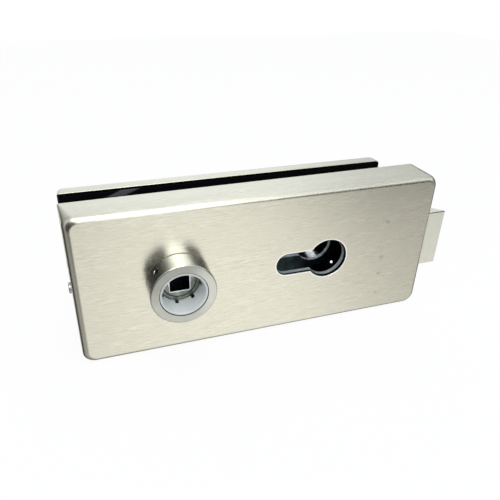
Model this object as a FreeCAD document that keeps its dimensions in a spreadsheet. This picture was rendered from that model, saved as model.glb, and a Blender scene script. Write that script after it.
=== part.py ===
import FreeCAD, Part
import math
import os
import re
import Sketcher

# Glass door lock with a latch, driven by a lever follower and by a profile cylinder.
# Millimetres. Origin: spindle axis in the middle plane of the glass.
# +X runs to the latch, -Y is the side with the lock case, +Z is up.

doc = FreeCAD.newDocument("glass_door_lock")
vector = FreeCAD.Vector

# Driving sizes, one cell each

sizes = {
    # whole lock
    "case_length": 168.8,
    "case_height": 71.0,
    "front_depth": 17.5,
    "rear_length": 152.1,
    "rear_depth": 8.0,
    "glass_gap": 8.0,
    "spindle_inset": 44.8,
    "centre_distance": 70.0,
    # pressed covers
    "cover_wall": 1.2,
    "cover_play": 0.15,
    "corner_radius": 6.0,
    "rear_corner": 3.5,
    "glass_corner": 1.8,
    "plate_corner": 1.6,
    "edge_radius": 2.5,
    # cast case and plates
    "case_wall": 2.0,
    "back_plate_thickness": 2.0,
    "gasket_thickness": 1.0,
    "rear_plate_thickness": 5.75,
    "hidden_edge": 2.4,
    "fit_play": 0.05,
    "running_play": 0.06,
    # lever collar and its bush
    "collar_radius": 14.1,
    "collar_length": 10.2,
    "collar_bore": 10.2,
    "spigot_radius": 11.5,
    "spigot_reach": 1.9,
    "groove_depth": 0.6,
    "ring_thickness": 1.0,
    "ring_outer": 13.2,
    "ring_opening": 7.0,
    "bush_bore": 9.3,
    "bush_length": 9.9,
    "bush_recess": 0.1,
    "notch_count": 8.0,
    "notch_width": 1.5,
    "notch_depth": 2.0,
    "notch_turn": 10.5,
    "grub_radius": 1.5,
    "grub_length": 2.6,
    "grub_socket": 0.8,
    "grub_turn": 136.0,
    # follower
    "journal_radius": 7.15,
    "follower_back": 0.05,
    "follower_end_play": 0.3,
    "shoulder_radius": 9.6,
    "disc_radius": 11.5,
    "disc_thickness": 3.8,
    "square_size": 8.7,
    "sleeve_wall": 0.5,
    "sleeve_stand": 0.25,
    "bearing_outer_back": 9.8,
    "follower_swing": 37.0,
    "arm_start": 2.0,
    "arm_foot_x": 9.0,
    "arm_foot_z": 9.0,
    "arm_tip_x": 4.6,
    "arm_tip_z": 19.2,
    "arm_lug_radius": 1.2,
    "arm_lug_height": 1.8,
    "arm_lug_distance": 12.6,
    "arm_lug_turn": 60.0,
    "arm_stop_radius": 2.2,
    "arm_stop_along": 0.68,
    # return spring of the follower
    "return_wire": 1.0,
    "return_radius": 10.6,
    "return_leg": 2.4,
    "return_bend": 1.6,
    "return_stop_radius": 1.5,
    "return_stop_distance": 13.6,
    "return_stop_turn": 168.0,
    # profile cylinder cut-out
    "passage_radius": 9.25,
    "passage_width": 11.0,
    "passage_length": 34.6,
    "cover_passage_step": 0.45,
    "case_passage_step": 0.1,
    "plate_passage_step": 0.25,
    "gasket_margin": 1.2,
    "cam_sweep": 15.3,
    "cylinder_screw_distance": 21.5,
    "cylinder_screw_radius": 2.45,
    "cylinder_screw_tip": 14.0,
    "cylinder_head_radius": 3.8,
    "cylinder_head_height": 2.1,
    "cylinder_boss_height": 4.6,
    "cylinder_boss_half": 4.6,
    # latch
    "latch_height": 29.0,
    "latch_side_play": 0.1,
    "latch_back_play": 0.25,
    "latch_reach": 10.3,
    "latch_travel": 10.0,
    "latch_length": 30.3,
    "latch_nose": 0.9,
    "latch_slot_depth": 9.0,
    "latch_pin_radius": 1.5,
    "latch_pin_inset": 4.5,
    "latch_pin_rise": 7.0,
    "guide_strip": 1.2,
    "guide_length": 12.0,
    # slide
    "slide_thickness": 2.0,
    "slide_setback": 4.3,
    "rail_height": 6.6,
    "rail_play": 0.9,
    "yoke_width": 8.0,
    "tongue_length": 8.5,
    "tongue_half": 11.0,
    "hook_rise": 21.0,
    "hook_height": 6.0,
    "hook_left": 9.0,
    "hook_right": 27.0,
    "hook_step": 22.0,
    "lug_width": 6.0,
    "lug_drop": 9.0,
    "contact_play": 0.05,
    "rail_gap": 0.55,
    "stud_radius": 1.8,
    "stud_foot": 3.0,
    "stud_head": 1.0,
    "stud_play": 0.15,
    "stud_edge": 0.05,
    "pin_gap": 0.3,
    "stud_left_x": 8.0,
    # latch spring
    "spring_wire": 0.9,
    "spring_play": 0.6,
    "spring_turns": 13.0,
    "rod_play": 0.45,
    "tab_thickness": 2.0,
    "tab_inset": 2.0,
    "tab_margin": 0.4,
    "rod_gap": 2.0,
    "bracket_left": 58.0,
    "bracket_width": 6.0,
    # changer lever
    "changer_thickness": 1.9,
    "changer_gap": 0.7,
    "changer_pivot_x": 60.0,
    "boss_play": 0.5,
    "changer_pin_radius": 1.5,
    "changer_width": 6.0,
    "changer_crank_x": 24.0,
    "changer_crank_z": 19.0,
    "changer_shank_x": 25.0,
    "changer_shank_z": 37.0,
    "changer_nose_x": 3.5,
    "changer_nose_z": 16.5,
    "changer_nose_width": 4.0,
    "slide_pin_radius": 1.6,
    "slide_pin_play": 0.1,
    # fasteners
    "case_screw_radius": 1.5,
    "case_screw_length": 8.0,
    "case_head_radius": 2.8,
    "case_head_height": 1.2,
    "case_screw_left": 7.5,
    "case_screw_middle": 34.0,
    "case_screw_right": 7.8,
    "cover_screw_radius": 1.4,
    "cover_screw_length": 7.0,
    "cover_head_radius": 2.4,
    "cover_head_height": 0.8,
    "cover_socket_radius": 0.9,
    "cover_socket_depth": 0.5,
    "cover_screw_level": 8.6,
    "cover_screw_rise": 24.0,
    "cover_boss_half": 3.2,
    "cover_boss_length": 4.5,
    "rear_screw_level": 4.0,
    "rear_screw_length": 6.0,
    "clamp_offset": 4.0,
    "clamp_left": 17.0,
    "clamp_rise": 13.5,
    "clamp_sleeve_radius": 4.5,
    "clamp_neck_radius": 2.8,
    "clamp_dome_radius": 3.2,
    "clamp_dome_height": 1.2,
    "clamp_screw_radius": 2.5,
    "clamp_head_radius": 4.6,
    "clamp_head_height": 2.3,
    "clamp_socket_radius": 1.6,
    "clamp_bite": 7.5,
    "clamp_end_play": 0.2,
}

# Places worked out from the sizes

places = {
    "left_end": "-spindle_inset",
    "right_end": "case_length - spindle_inset",
    "rear_right_end": "rear_length - spindle_inset",
    "top": "case_height / 2",
    "front_glass": "-glass_gap / 2",
    "rear_glass": "glass_gap / 2",
    "front_face": "-glass_gap / 2 - front_depth",
    "front_skin": "-glass_gap / 2 - front_depth + cover_wall",
    "case_floor": "-glass_gap / 2 - front_depth + cover_wall + case_wall",
    "plate_rear": "-glass_gap / 2 - gasket_thickness",
    "plate_front": "-glass_gap / 2 - gasket_thickness - back_plate_thickness",
    "rear_face": "glass_gap / 2 + rear_depth",
    "rear_skin": "glass_gap / 2 + rear_depth - cover_wall",
    "rear_plate_front": "glass_gap / 2 + gasket_thickness",
    "rear_plate_back": "glass_gap / 2 + gasket_thickness + rear_plate_thickness",
    "case_left": "-spindle_inset + cover_wall + cover_play",
    "case_right": "case_length - spindle_inset - cover_wall - cover_play",
    "rear_right": "rear_length - spindle_inset - cover_wall - cover_play",
    "case_top": "case_height / 2 - cover_wall - cover_play",
    "case_corner": "corner_radius - cover_wall - cover_play",
    "inner_left": "-spindle_inset + cover_wall + cover_play + case_wall",
    "inner_right": "case_length - spindle_inset - cover_wall - cover_play - case_wall",
    "inner_top": "case_height / 2 - cover_wall - cover_play - case_wall",
    "spigot_hole": "spigot_radius + fit_play",
    "gasket_hub_hole": "spigot_radius + fit_play + gasket_margin",
    "groove_radius": "spigot_radius - groove_depth",
    "bush_outer": "collar_bore - fit_play",
    "journal_hole": "journal_radius + running_play",
    "hub_square": "square_size / 2 + sleeve_wall + fit_play",
    "sleeve_half": "square_size / 2 + sleeve_wall",
    "square_half": "square_size / 2",
    "passage_half": "passage_width / 2",
    "passage_end": "centre_distance + passage_radius - passage_length + passage_width / 2",
    "cover_passage_radius": "passage_radius + cover_passage_step",
    "case_passage_radius": "passage_radius - case_passage_step",
    "case_passage_half": "passage_width / 2 - case_passage_step",
    "plate_passage_radius": "passage_radius - plate_passage_step",
    "plate_passage_half": "passage_width / 2 - plate_passage_step",
    "gasket_passage_radius": "passage_radius + gasket_margin",
    "gasket_passage_half": "passage_width / 2 + gasket_margin",
    "rail_inner": "cam_sweep + rail_play",
    "rail_outer": "cam_sweep + rail_play + rail_height",
    "rail_middle": "cam_sweep + rail_play + rail_height / 2",
    "room_half": "(inner_top - rail_outer) / 2",
    "room_middle": "(inner_top + rail_outer) / 2",
    "boss_radius": "room_half - boss_play",
    "spring_room": "min(room_half; slide_middle - case_floor)",
    "spring_radius": "spring_room - spring_play - spring_wire / 2",
    "rod_radius": "spring_radius - spring_wire / 2 - rod_play",
    "tab_half": "spring_radius + tab_margin",
    "latch_half": "latch_height / 2",
    "latch_front": "case_floor + latch_side_play",
    "latch_back": "plate_front - latch_back_play",
    "latch_tip": "right_end + latch_reach",
    "latch_root": "right_end + latch_reach - latch_length",
    "latch_bevel": "latch_tip - (latch_back - latch_front - latch_nose)",
    "latch_slot_end": "latch_root + latch_slot_depth",
    "latch_pin_x": "latch_root + latch_pin_inset",
    "mouth_half": "latch_half + latch_side_play + guide_strip",
    "guide_inner": "latch_half + latch_side_play",
    "guide_start": "case_right - guide_length",
    "slide_front": "case_floor + slide_setback",
    "slide_rear": "case_floor + slide_setback + slide_thickness",
    "slide_slot_front": "case_floor + slide_setback - latch_side_play",
    "slide_slot_rear": "case_floor + slide_setback + slide_thickness + latch_side_play",
    "slide_middle": "case_floor + slide_setback + slide_thickness / 2",
    "yoke_left": "latch_root - yoke_width",
    "tongue_end": "latch_root + tongue_length",
    "hook_top": "hook_rise + hook_height",
    "hook_middle": "hook_rise + hook_height / 2",
    "contact_radius": "latch_travel / (follower_swing * pi / 180)",
    "lug_face": "-arm_start - contact_play",
    "lug_left": "-arm_start - contact_play - lug_width",
    "tab_right": "yoke_left + tab_inset",
    "tab_left": "yoke_left + tab_inset - tab_thickness",
    "bracket_right": "bracket_left + bracket_width",
    "changer_rear": "plate_front - changer_gap",
    "changer_front": "plate_front - changer_gap - changer_thickness",
    "slide_pin_x": "changer_pivot_x + latch_travel / 2",
    "slide_pin_z": "-(cam_sweep + rail_play + rail_height / 2)",
    "case_screw_x_left": "case_left + case_screw_left",
    "case_screw_x_right": "case_right - case_screw_right",
    "cylinder_screw_x": "centre_distance - cylinder_screw_distance",
    "lower_rail_left": "cylinder_screw_x + cylinder_screw_radius + latch_travel + rail_gap",
    "cylinder_screw_y": "(case_floor + plate_front) / 2",
    "cover_screw_y": "front_face + cover_screw_level",
    "rear_screw_y": "rear_glass + rear_screw_level",
    "clamp_right_x": "centre_distance + clamp_offset",
    "clamp_left_x": "-clamp_left",
    "follower_front": "front_face + follower_back",
    "follower_rear": "front_glass - follower_end_play",
    "shoulder_front": "case_floor + follower_end_play * 2 + running_play",
    "disc_front": "slide_middle - disc_thickness / 2",
    "disc_rear": "slide_middle + disc_thickness / 2",
    "shoulder_rear": "plate_front - follower_end_play",
    "collar_front": "front_face - collar_length",
    "collar_rear": "rear_face + collar_length",
    "spigot_end": "case_floor + spigot_reach",
    "ring_end": "case_floor + ring_thickness",
    "bearing_front_end": "case_floor + follower_end_play * 2",
    "bush_front": "front_face - collar_length + bush_recess",
    "bush_inner_end": "front_face - collar_length + bush_recess + bush_length",
    "tongue_play_half": "tongue_half + latch_back_play",
    "lug_bottom": "hook_rise - lug_drop",
    "yoke_bottom": "-room_middle - tab_half",
    "stud_inner": "stud_radius + stud_play",
    "stud_by_yoke": "yoke_left - latch_travel - stud_inner - stud_edge",
    "stud_by_pin": "slide_pin_x + slide_pin_radius + stud_foot + pin_gap",
    "stud_right_x": "max(stud_by_yoke; stud_by_pin)",
    "rod_end": "tab_left - latch_travel - rod_gap",
    "changer_pivot_z": "room_middle",
    "arm_lean_x": "arm_tip_x - arm_foot_x",
    "arm_lean_z": "arm_tip_z - arm_foot_z",
    "arm_side": "sqrt(arm_lean_x ^ 2 + arm_lean_z ^ 2)",
    "stop_reach": "arm_stop_radius + contact_play",
    "stop_x": "arm_foot_x + arm_lean_x * arm_stop_along + stop_reach * arm_lean_z / arm_side",
    "stop_z": "arm_foot_z + arm_lean_z * arm_stop_along - stop_reach * arm_lean_x / arm_side",
    "arm_lug_x": "arm_lug_distance * cos(arm_lug_turn)",
    "arm_lug_z": "arm_lug_distance * sin(arm_lug_turn)",
    "return_stop_x": "return_stop_distance * cos(return_stop_turn)",
    "return_stop_z": "return_stop_distance * sin(return_stop_turn)",
    "crank_x": "changer_pivot_x - changer_crank_x",
    "crank_z": "changer_pivot_z - changer_crank_z",
    "shank_x": "changer_pivot_x - changer_shank_x",
    "shank_z": "changer_pivot_z - changer_shank_z",
    "nose_x": "changer_pivot_x + changer_nose_x",
    "nose_z": "changer_pivot_z - changer_nose_z",
    "changer_half": "changer_width / 2",
    "cover_boss_left": "inner_left + cover_boss_length",
    "cover_boss_right": "inner_right - cover_boss_length",
}

sheet = doc.addObject("Spreadsheet::Sheet", "Sizes")
rows = [(name, str(number)) for name, number in sizes.items()]
rows += [(name, "=" + formula) for name, formula in places.items()]
for row, (name, content) in enumerate(rows, 1):
    sheet.set(f"A{row}", name)
    sheet.set(f"B{row}", content)
    sheet.setAlias(f"B{row}", name)
doc.recompute()
names = set(sizes) | set(places)


def at(name):
    return float(sheet.get(name))


def bind(item, prop, formula):
    words = re.split(r"([a-z][a-z_]+)", str(formula))
    item.setExpression(prop, "".join("Sizes." + word if word in names else word for word in words))


# Building blocks

ways = {
    "x": FreeCAD.Rotation(vector(0, 1, 0), 90),
    "y": FreeCAD.Rotation(vector(1, 0, 0), -90),
    "z": FreeCAD.Rotation(),
}


def put(item, x, y, z):
    bind(item, "Placement.Base.x", x)
    bind(item, "Placement.Base.y", y)
    bind(item, "Placement.Base.z", z)


def block(x0, x1, y0, y1, z0, z1):
    item = doc.addObject("Part::Box", "block")
    bind(item, "Length", f"({x1}) - ({x0})")
    bind(item, "Width", f"({y1}) - ({y0})")
    bind(item, "Height", f"({z1}) - ({z0})")
    put(item, x0, y0, z0)
    return item


def stand(item, way, start, a, b):
    item.Placement = FreeCAD.Placement(vector(), ways[way])
    spot = {"x": (start, a, b), "y": (a, start, b), "z": (a, b, start)}[way]
    put(item, *spot)
    return item


def rod(way, radius, start, end, a, b):
    item = doc.addObject("Part::Cylinder", "rod")
    bind(item, "Radius", radius)
    bind(item, "Height", f"({end}) - ({start})")
    return stand(item, way, start, a, b)


def taper(way, first, last, start, end, a, b):
    item = doc.addObject("Part::Cone", "taper")
    bind(item, "Radius1", first)
    bind(item, "Radius2", last)
    bind(item, "Height", f"({end}) - ({start})")
    return stand(item, way, start, a, b)


def join(label, *items):
    item = items[0]
    if len(items) > 1:
        item = doc.addObject("Part::MultiFuse", label)
        item.Shapes = list(items)
    item.Label = label
    return item


def cut(label, base, *tools):
    item = doc.addObject("Part::Cut", label)
    item.Base = base
    item.Tool = tools[0] if len(tools) == 1 else join(label + "_tools", *tools)
    item.Label = label
    return item


def draw(body, name, outline, level, plane="XZ_Plane"):
    sketch = body.newObject("Sketcher::SketchObject", name)
    base = [item for item in body.Origin.OriginFeatures if item.Role == plane][0]
    sketch.AttachmentSupport = [(base, "")]
    sketch.MapMode = "FlatFace"
    sign = "-" if plane == "XZ_Plane" else ""
    bind(sketch, "AttachmentOffset.Base.z", f"{sign}({level})")
    count = len(outline)
    turn = 2 * math.pi / count
    ring = [vector(10 * math.cos(turn * n), 10 * math.sin(turn * n), 0) for n in range(count)]
    for n in range(count):
        sketch.addGeometry(Part.LineSegment(ring[n], ring[(n + 1) % count]), False)
    for n in range(count):
        sketch.addConstraint(Sketcher.Constraint("Coincident", n, 2, (n + 1) % count, 1))
    for n, (across, up) in enumerate(outline):
        for kind, formula, spot in (("DistanceX", across, ring[n].x), ("DistanceY", up, ring[n].y)):
            index = sketch.addConstraint(Sketcher.Constraint(kind, -1, 1, n, 1, spot))
            bind(sketch, f"Constraints[{index}]", formula)
    return sketch


def plate(label, outline, y0, y1):
    body = doc.addObject("PartDesign::Body", label)
    sketch = draw(body, label + "_outline", outline, y1)
    pad = body.newObject("PartDesign::Pad", label + "_pad")
    pad.Profile = sketch
    bind(pad, "Length", f"({y1}) - ({y0})")
    return body


def rectangle(x0, x1, z0, z1):
    return [(x0, z0), (x1, z0), (x1, z1), (x0, z1)]


def round_off(body, name, radius, test):
    doc.recompute()
    base = body.Tip
    edges = [f"Edge{n}" for n, edge in enumerate(base.Shape.Edges, 1) if test(edge)]
    fillet = body.newObject("PartDesign::Fillet", name)
    fillet.Base = (base, edges)
    bind(fillet, "Radius", radius)
    return fillet


def runs_deep(edge):
    first, last = edge.Vertexes[0], edge.Vertexes[-1]
    return abs(first.X - last.X) < 1e-6 and abs(first.Z - last.Z) < 1e-6


def lies_at(level):
    return lambda edge: all(abs(corner.Y - level) < 1e-6 for corner in edge.Vertexes)


def rounded_plate(label, x0, x1, half, corner, y0, y1):
    body = plate(label, rectangle(x0, x1, f"-{half}", half), y0, y1)
    round_off(body, label + "_corners", corner, runs_deep)
    return body


def ease(label, base, test, radius, far_radius, level):
    # the radius at the level, and the one at the other end of each edge
    doc.recompute()
    item = doc.addObject("Part::Fillet", label)
    item.Base = base
    rows = []
    for n, edge in enumerate(base.Shape.Edges, 1):
        if test(edge):
            first = edge.valueAt(edge.FirstParameter).y
            near = abs(first - level) < 1e-6
            rows.append((n, radius, far_radius) if near else (n, far_radius, radius))
    item.Edges = rows
    return item


def tray(label, x0, x1, half, corner, far_corner, edge, wall, closed, opened):
    deep = at(closed) < at(opened)
    inward, outward = ("+", "+ 1") if deep else ("-", "- 1")
    outer = (closed, opened) if deep else (opened, closed)
    floor, mouth = f"{closed} {inward} {wall}", f"{opened} {outward}"
    inner = (floor, mouth) if deep else (mouth, floor)
    solid = plate(label + "_outer", rectangle(x0, x1, f"-{half}", half), *outer)
    level = at(closed)
    solid = ease(label + "_corners", solid, runs_deep, at(corner), at(far_corner), level)
    solid = ease(label + "_edge", solid, lies_at(level), at(edge), at(edge), level)
    low, high = f"-({half} - {wall})", f"({half} - {wall})"
    room = plate(label + "_inner", rectangle(f"{x0} + {wall}", f"{x1} - {wall}", low, high), *inner)
    level += at(wall) if deep else -at(wall)
    room = ease(label + "_inner_corners", room, runs_deep, at(corner) - at(wall),
                at(far_corner) - at(wall), level)
    room = ease(label + "_inner_edge", room, lies_at(level), at(edge) - at(wall),
                at(edge) - at(wall), level)
    return cut(label, solid, room)


def bar(label, a, b, half, y0, y1):
    run = f"(({b[0]}) - ({a[0]}))"
    rise = f"(({b[1]}) - ({a[1]}))"
    span = f"sqrt({run} ^ 2 + {rise} ^ 2)"
    across = f"({half}) * {rise} / {span}"
    up = f"({half}) * {run} / {span}"
    outline = [
        (f"{a[0]} - {across}", f"{a[1]} + {up}"),
        (f"{a[0]} + {across}", f"{a[1]} - {up}"),
        (f"{b[0]} + {across}", f"{b[1]} - {up}"),
        (f"{b[0]} - {across}", f"{b[1]} + {up}"),
    ]
    return plate(label, outline, y0, y1)


def passage(radius, half, y0, y1):
    return [
        rod("y", radius, y0, y1, "centre_distance", 0),
        block("passage_end", "centre_distance", y0, y1, f"-{half}", half),
        rod("y", half, y0, y1, "passage_end", 0),
    ]


def arcs_between(p0, t0, p1, t1):
    chord = p1 - p0
    both = t0 + t1
    spread = 2 * (1 - t0.dot(t1))
    reach = chord.dot(both)
    if spread < 1e-9:
        length = chord.dot(chord) / (2 * reach)
    else:
        length = (-reach + math.sqrt(reach ** 2 + spread * chord.dot(chord))) / spread
    q0 = p0 + t0 * length
    q1 = p1 - t1 * length
    joint = (q0 + q1) * 0.5
    found = []
    for start, corner, end in ((p0, q0, joint), (joint, q1, p1)):
        middle = (start + end) * 0.5
        rise = (corner - middle).Length
        half = (start - middle).Length
        if rise < 1e-7:
            found.append(Part.LineSegment(start, end).toShape())
            continue
        bulge = half * math.tan(math.atan(rise / half) / 2)
        through = middle + (corner - middle) * (bulge / rise)
        found.append(Part.Arc(start, through, end).toShape())
    return found


def tube(label, points, tangents, radius, reach):
    edges = []
    for n in range(len(points) - 1):
        edges += arcs_between(points[n], tangents[n], points[n + 1], tangents[n + 1])
    path = Part.Wire(edges)
    print(label, "least gap between its turns", round(least_gap(edges, radius, reach), 2), "mm")
    ring = Part.Wire([Part.Circle(points[0], tangents[0], radius).toShape()])
    sweep = Part.BRepOffsetAPI.MakePipeShell(path)
    sweep.add(ring)
    sweep.build()
    sweep.makeSolid()
    return sweep.shape()


# The measured gap leaves out neighbours along the wire that are nearer than reach


def least_gap(edges, radius, reach):
    wire = Part.Wire(edges)
    points = wire.discretize(Number=int(wire.Length / 0.8))
    step = wire.Length / (len(points) - 1)
    least = wire.Length
    for i, first in enumerate(points):
        for second in points[i + int(reach / step):]:
            least = min(least, (first - second).Length - 2 * radius)
    return least


pieces = []


def keep(item):
    pieces.append(item)
    return item


case_screw_spots = [
    (x, z)
    for x in ("case_screw_x_left", "case_screw_middle", "case_screw_x_right")
    for z in ("room_middle", "-room_middle")
]
clamp_spots = [(x, z) for x in ("clamp_left_x", "clamp_right_x") for z in ("clamp_rise", "-clamp_rise")]
stud_spots = [
    ("stud_left_x", "hook_middle"),
    ("stud_right_x", "rail_middle"),
    ("stud_right_x", "-rail_middle"),
]
right_cover_screws = ("cover_screw_rise", "-cover_screw_rise")


# Front cover, a pressed tray of stainless sheet

shell = tray("front_cover_shell", "left_end", "right_end", "top", "corner_radius", "glass_corner",
             "edge_radius", "cover_wall", "front_face", "front_glass")
holes = [rod("y", "spigot_hole", "front_face - 1", "front_skin + 1", 0, 0)]
holes += passage("cover_passage_radius", "passage_half", "front_face - 1", "front_skin + 1")
holes.append(block("right_end - 4", "right_end + 1", "latch_front - latch_side_play",
                   "latch_back + latch_side_play", "-guide_inner", "guide_inner"))
holes.append(rod("x", "cover_screw_radius + fit_play", "left_end - 1", "left_end + 3", "cover_screw_y", 0))
for z in right_cover_screws:
    holes.append(rod("x", "cover_screw_radius + fit_play", "right_end - 3", "right_end + 1",
                     "cover_screw_y", z))
keep(cut("front_cover", shell, *holes))

# Lock case, open to the glass side

shell = tray("lock_case_shell", "case_left", "case_right", "case_top", "case_corner", "case_corner",
             "hidden_edge", "case_wall", "front_skin", "plate_front")
lumps = [shell]
for x, z in case_screw_spots:
    lumps.append(rod("y", "boss_radius", "case_floor - 0.5", "plate_front", x, z))
lumps.append(rod("y", "boss_radius", "case_floor - 0.5", "changer_front - running_play",
                 "changer_pivot_x", "changer_pivot_z"))
lumps.append(block("bracket_left", "bracket_right", "case_floor - 0.5",
                   "changer_front - follower_end_play", "-room_middle - boss_radius",
                   "-room_middle + boss_radius"))
lumps.append(block("cylinder_screw_x - cylinder_boss_half", "cylinder_screw_x + cylinder_boss_half",
                   "cylinder_screw_y - cylinder_boss_half", "cylinder_screw_y + cylinder_boss_half",
                   "-inner_top - 0.5", "-inner_top + cylinder_boss_height"))
cover_boss = ("cover_screw_y - cover_boss_half", "cover_screw_y + cover_boss_half")
lumps.append(block("inner_left - 0.5", "cover_boss_left", *cover_boss,
                   "-cover_boss_half", "cover_boss_half"))
for z in right_cover_screws:
    lumps.append(block("cover_boss_right", "inner_right + 0.5", *cover_boss,
                       f"{z} - cover_boss_half", f"{z} + cover_boss_half"))
holes = [rod("y", "spigot_hole", "front_skin - 1", "case_floor + 1", 0, 0)]
holes += passage("case_passage_radius", "case_passage_half", "front_skin - 1", "case_floor + 1")
holes.append(block("inner_right - 1", "case_right + 1", "case_floor", "plate_front + 1",
                   "-mouth_half", "mouth_half"))
for x, z in case_screw_spots:
    holes.append(rod("y", "case_screw_radius + fit_play", "plate_rear - case_screw_length - 1",
                     "plate_front + 1", x, z))
holes.append(rod("y", "changer_pin_radius", "case_floor + 1", "changer_front", "changer_pivot_x",
                 "changer_pivot_z"))
holes.append(rod("y", "arm_stop_radius", "case_floor - 1", "case_floor + 1", "stop_x", "stop_z"))
for x, z in stud_spots:
    holes.append(rod("y", "stud_radius", "case_floor - 1", "case_floor + 1", x, z))
holes.append(rod("x", "rod_radius", "bracket_left - 1", "bracket_right + 1",
                 "slide_middle", "-room_middle"))
holes.append(rod("z", "cylinder_screw_radius + fit_play", "-case_top - 1",
                 "-inner_top + cylinder_boss_height + 1", "cylinder_screw_x", "cylinder_screw_y"))
holes.append(rod("z", "cylinder_head_radius + latch_side_play", "-case_top - 1",
                 "-case_top + cylinder_head_height", "cylinder_screw_x", "cylinder_screw_y"))
holes.append(rod("x", "cover_screw_radius + fit_play", "case_left - 1", "cover_boss_left + 1",
                 "cover_screw_y", 0))
for z in right_cover_screws:
    holes.append(rod("x", "cover_screw_radius + fit_play", "cover_boss_right - 1", "case_right + 1",
                     "cover_screw_y", z))
keep(cut("lock_case", join("lock_case_body", *lumps), *holes))

# Back plate of the case and the gasket on it

base = rounded_plate("case_back_plate_blank", "case_left", "case_right", "case_top", "plate_corner",
                     "plate_front", "plate_rear")
holes = [rod("y", "bearing_outer_back + fit_play", "plate_front - 1", "plate_rear + 1", 0, 0)]
holes += passage("plate_passage_radius", "plate_passage_half", "plate_front - 1", "plate_rear + 1")
for x, z in clamp_spots:
    holes.append(rod("y", "clamp_neck_radius", "plate_front - 1", "plate_rear + 1", x, z))
for x, z in case_screw_spots:
    holes.append(rod("y", "case_screw_radius + fit_play", "plate_front - 1", "plate_rear + 1", x, z))
    holes.append(taper("y", "case_screw_radius + fit_play", "case_head_radius + fit_play",
                       "plate_rear - case_head_height", "plate_rear", x, z))
holes.append(rod("y", "changer_pin_radius", "plate_front - 1", "plate_rear + 1", "changer_pivot_x",
                 "changer_pivot_z"))
holes.append(rod("y", "return_stop_radius", "plate_front - 1", "plate_rear + 1", "return_stop_x",
                 "return_stop_z"))
keep(cut("case_back_plate", base, *holes))

for label, right, y0, y1 in (("front_gasket", "case_right", "plate_rear", "front_glass"),
                             ("rear_gasket", "rear_right", "rear_glass", "rear_plate_front")):
    base = rounded_plate(label + "_blank", "case_left", right, "case_top", "plate_corner", y0, y1)
    holes = [rod("y", "gasket_hub_hole", f"{y0} - 1", f"{y1} + 1", 0, 0)]
    holes += passage("gasket_passage_radius", "gasket_passage_half", f"{y0} - 1", f"{y1} + 1")
    for x, z in clamp_spots:
        holes.append(rod("y", "clamp_sleeve_radius + fit_play", f"{y0} - 1", f"{y1} + 1", x, z))
    keep(cut(label, base, *holes))

# Rear clamping plate and the rear cover

base = rounded_plate("rear_plate_blank", "case_left", "rear_right", "case_top", "case_corner",
                     "rear_plate_front", "rear_plate_back")
round_off(base, "rear_plate_edge", "hidden_edge", lies_at(at("rear_plate_back")))
holes = [rod("y", "spigot_hole", "rear_plate_front - 1", "rear_plate_back + 1", 0, 0)]
holes += passage("plate_passage_radius", "plate_passage_half",
                 "rear_plate_front - 1", "rear_plate_back + 1")
for x, z in clamp_spots:
    holes.append(rod("y", "clamp_screw_radius + fit_play",
                     "rear_plate_front - 1", "rear_plate_back + 1", x, z))
    holes.append(taper("y", "clamp_screw_radius + fit_play", "clamp_head_radius + fit_play",
                       "rear_plate_back - clamp_head_height", "rear_plate_back", x, z))
holes.append(rod("x", "cover_screw_radius + fit_play", "case_left - 1", "case_left + rear_screw_length",
                 "rear_screw_y", 0))
holes.append(rod("x", "cover_screw_radius + fit_play", "rear_right - rear_screw_length", "rear_right + 1",
                 "rear_screw_y", 0))
keep(cut("rear_plate", base, *holes))

shell = tray("rear_cover_shell", "left_end", "rear_right_end", "top", "rear_corner", "glass_corner",
             "edge_radius", "cover_wall", "rear_face", "rear_glass")
holes = [rod("y", "spigot_hole", "rear_skin - 1", "rear_face + 1", 0, 0)]
holes += passage("cover_passage_radius", "passage_half", "rear_skin - 1", "rear_face + 1")
holes.append(rod("x", "cover_screw_radius + fit_play", "left_end - 1", "left_end + 3", "rear_screw_y", 0))
holes.append(rod("x", "cover_screw_radius + fit_play", "rear_right_end - 3", "rear_right_end + 1",
                 "rear_screw_y", 0))
keep(cut("rear_cover", shell, *holes))

# Lever collars with their bushes and grub screws

grub = math.radians(at("grub_turn"))
grub_middle = "(collar_bore + fit_play)"


def grub_tool(radius, start, end, level):
    item = doc.addObject("Part::Cylinder", "grub")
    bind(item, "Radius", radius)
    bind(item, "Height", f"({end}) - ({start})")
    way = FreeCAD.Rotation(vector(0, 0, 1), vector(math.cos(grub), 0, math.sin(grub)))
    item.Placement = FreeCAD.Placement(vector(), way)
    put(item, f"({start}) * cos(grub_turn)", level, f"({start}) * sin(grub_turn)")
    return item


def collar_set(side, outer, face, seat, grub_level):
    y0, y1 = sorted((outer, face), key=at)
    s0, s1 = sorted((face, seat), key=at)
    body = join(f"collar_{side}_body", rod("y", "collar_radius", y0, y1, 0, 0),
                rod("y", "spigot_radius", s0, s1, 0, 0))
    low, high = (outer, seat) if at(outer) < at(seat) else (seat, outer)
    tools = [rod("y", "collar_bore", f"{low} - 1", f"{high} + 1", 0, 0)]
    tools.append(grub_tool("grub_radius", grub_middle, "collar_radius + 1", grub_level))
    if side == "front":
        band = cut("spigot_groove", rod("y", "spigot_radius + 1", "case_floor", "ring_end", 0, 0),
                   rod("y", "groove_radius", "case_floor - 1", "ring_end + 1", 0, 0))
        tools.append(band)
    keep(cut(f"lever_collar_{side}", body, *tools))
    screw = grub_tool("grub_radius", "collar_radius - latch_side_play - grub_length",
                      "collar_radius - latch_side_play", grub_level)
    socket = grub_tool("grub_socket", "collar_radius - 1.5", "collar_radius + 1", grub_level)
    keep(cut(f"collar_screw_{side}", screw, socket))


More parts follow.
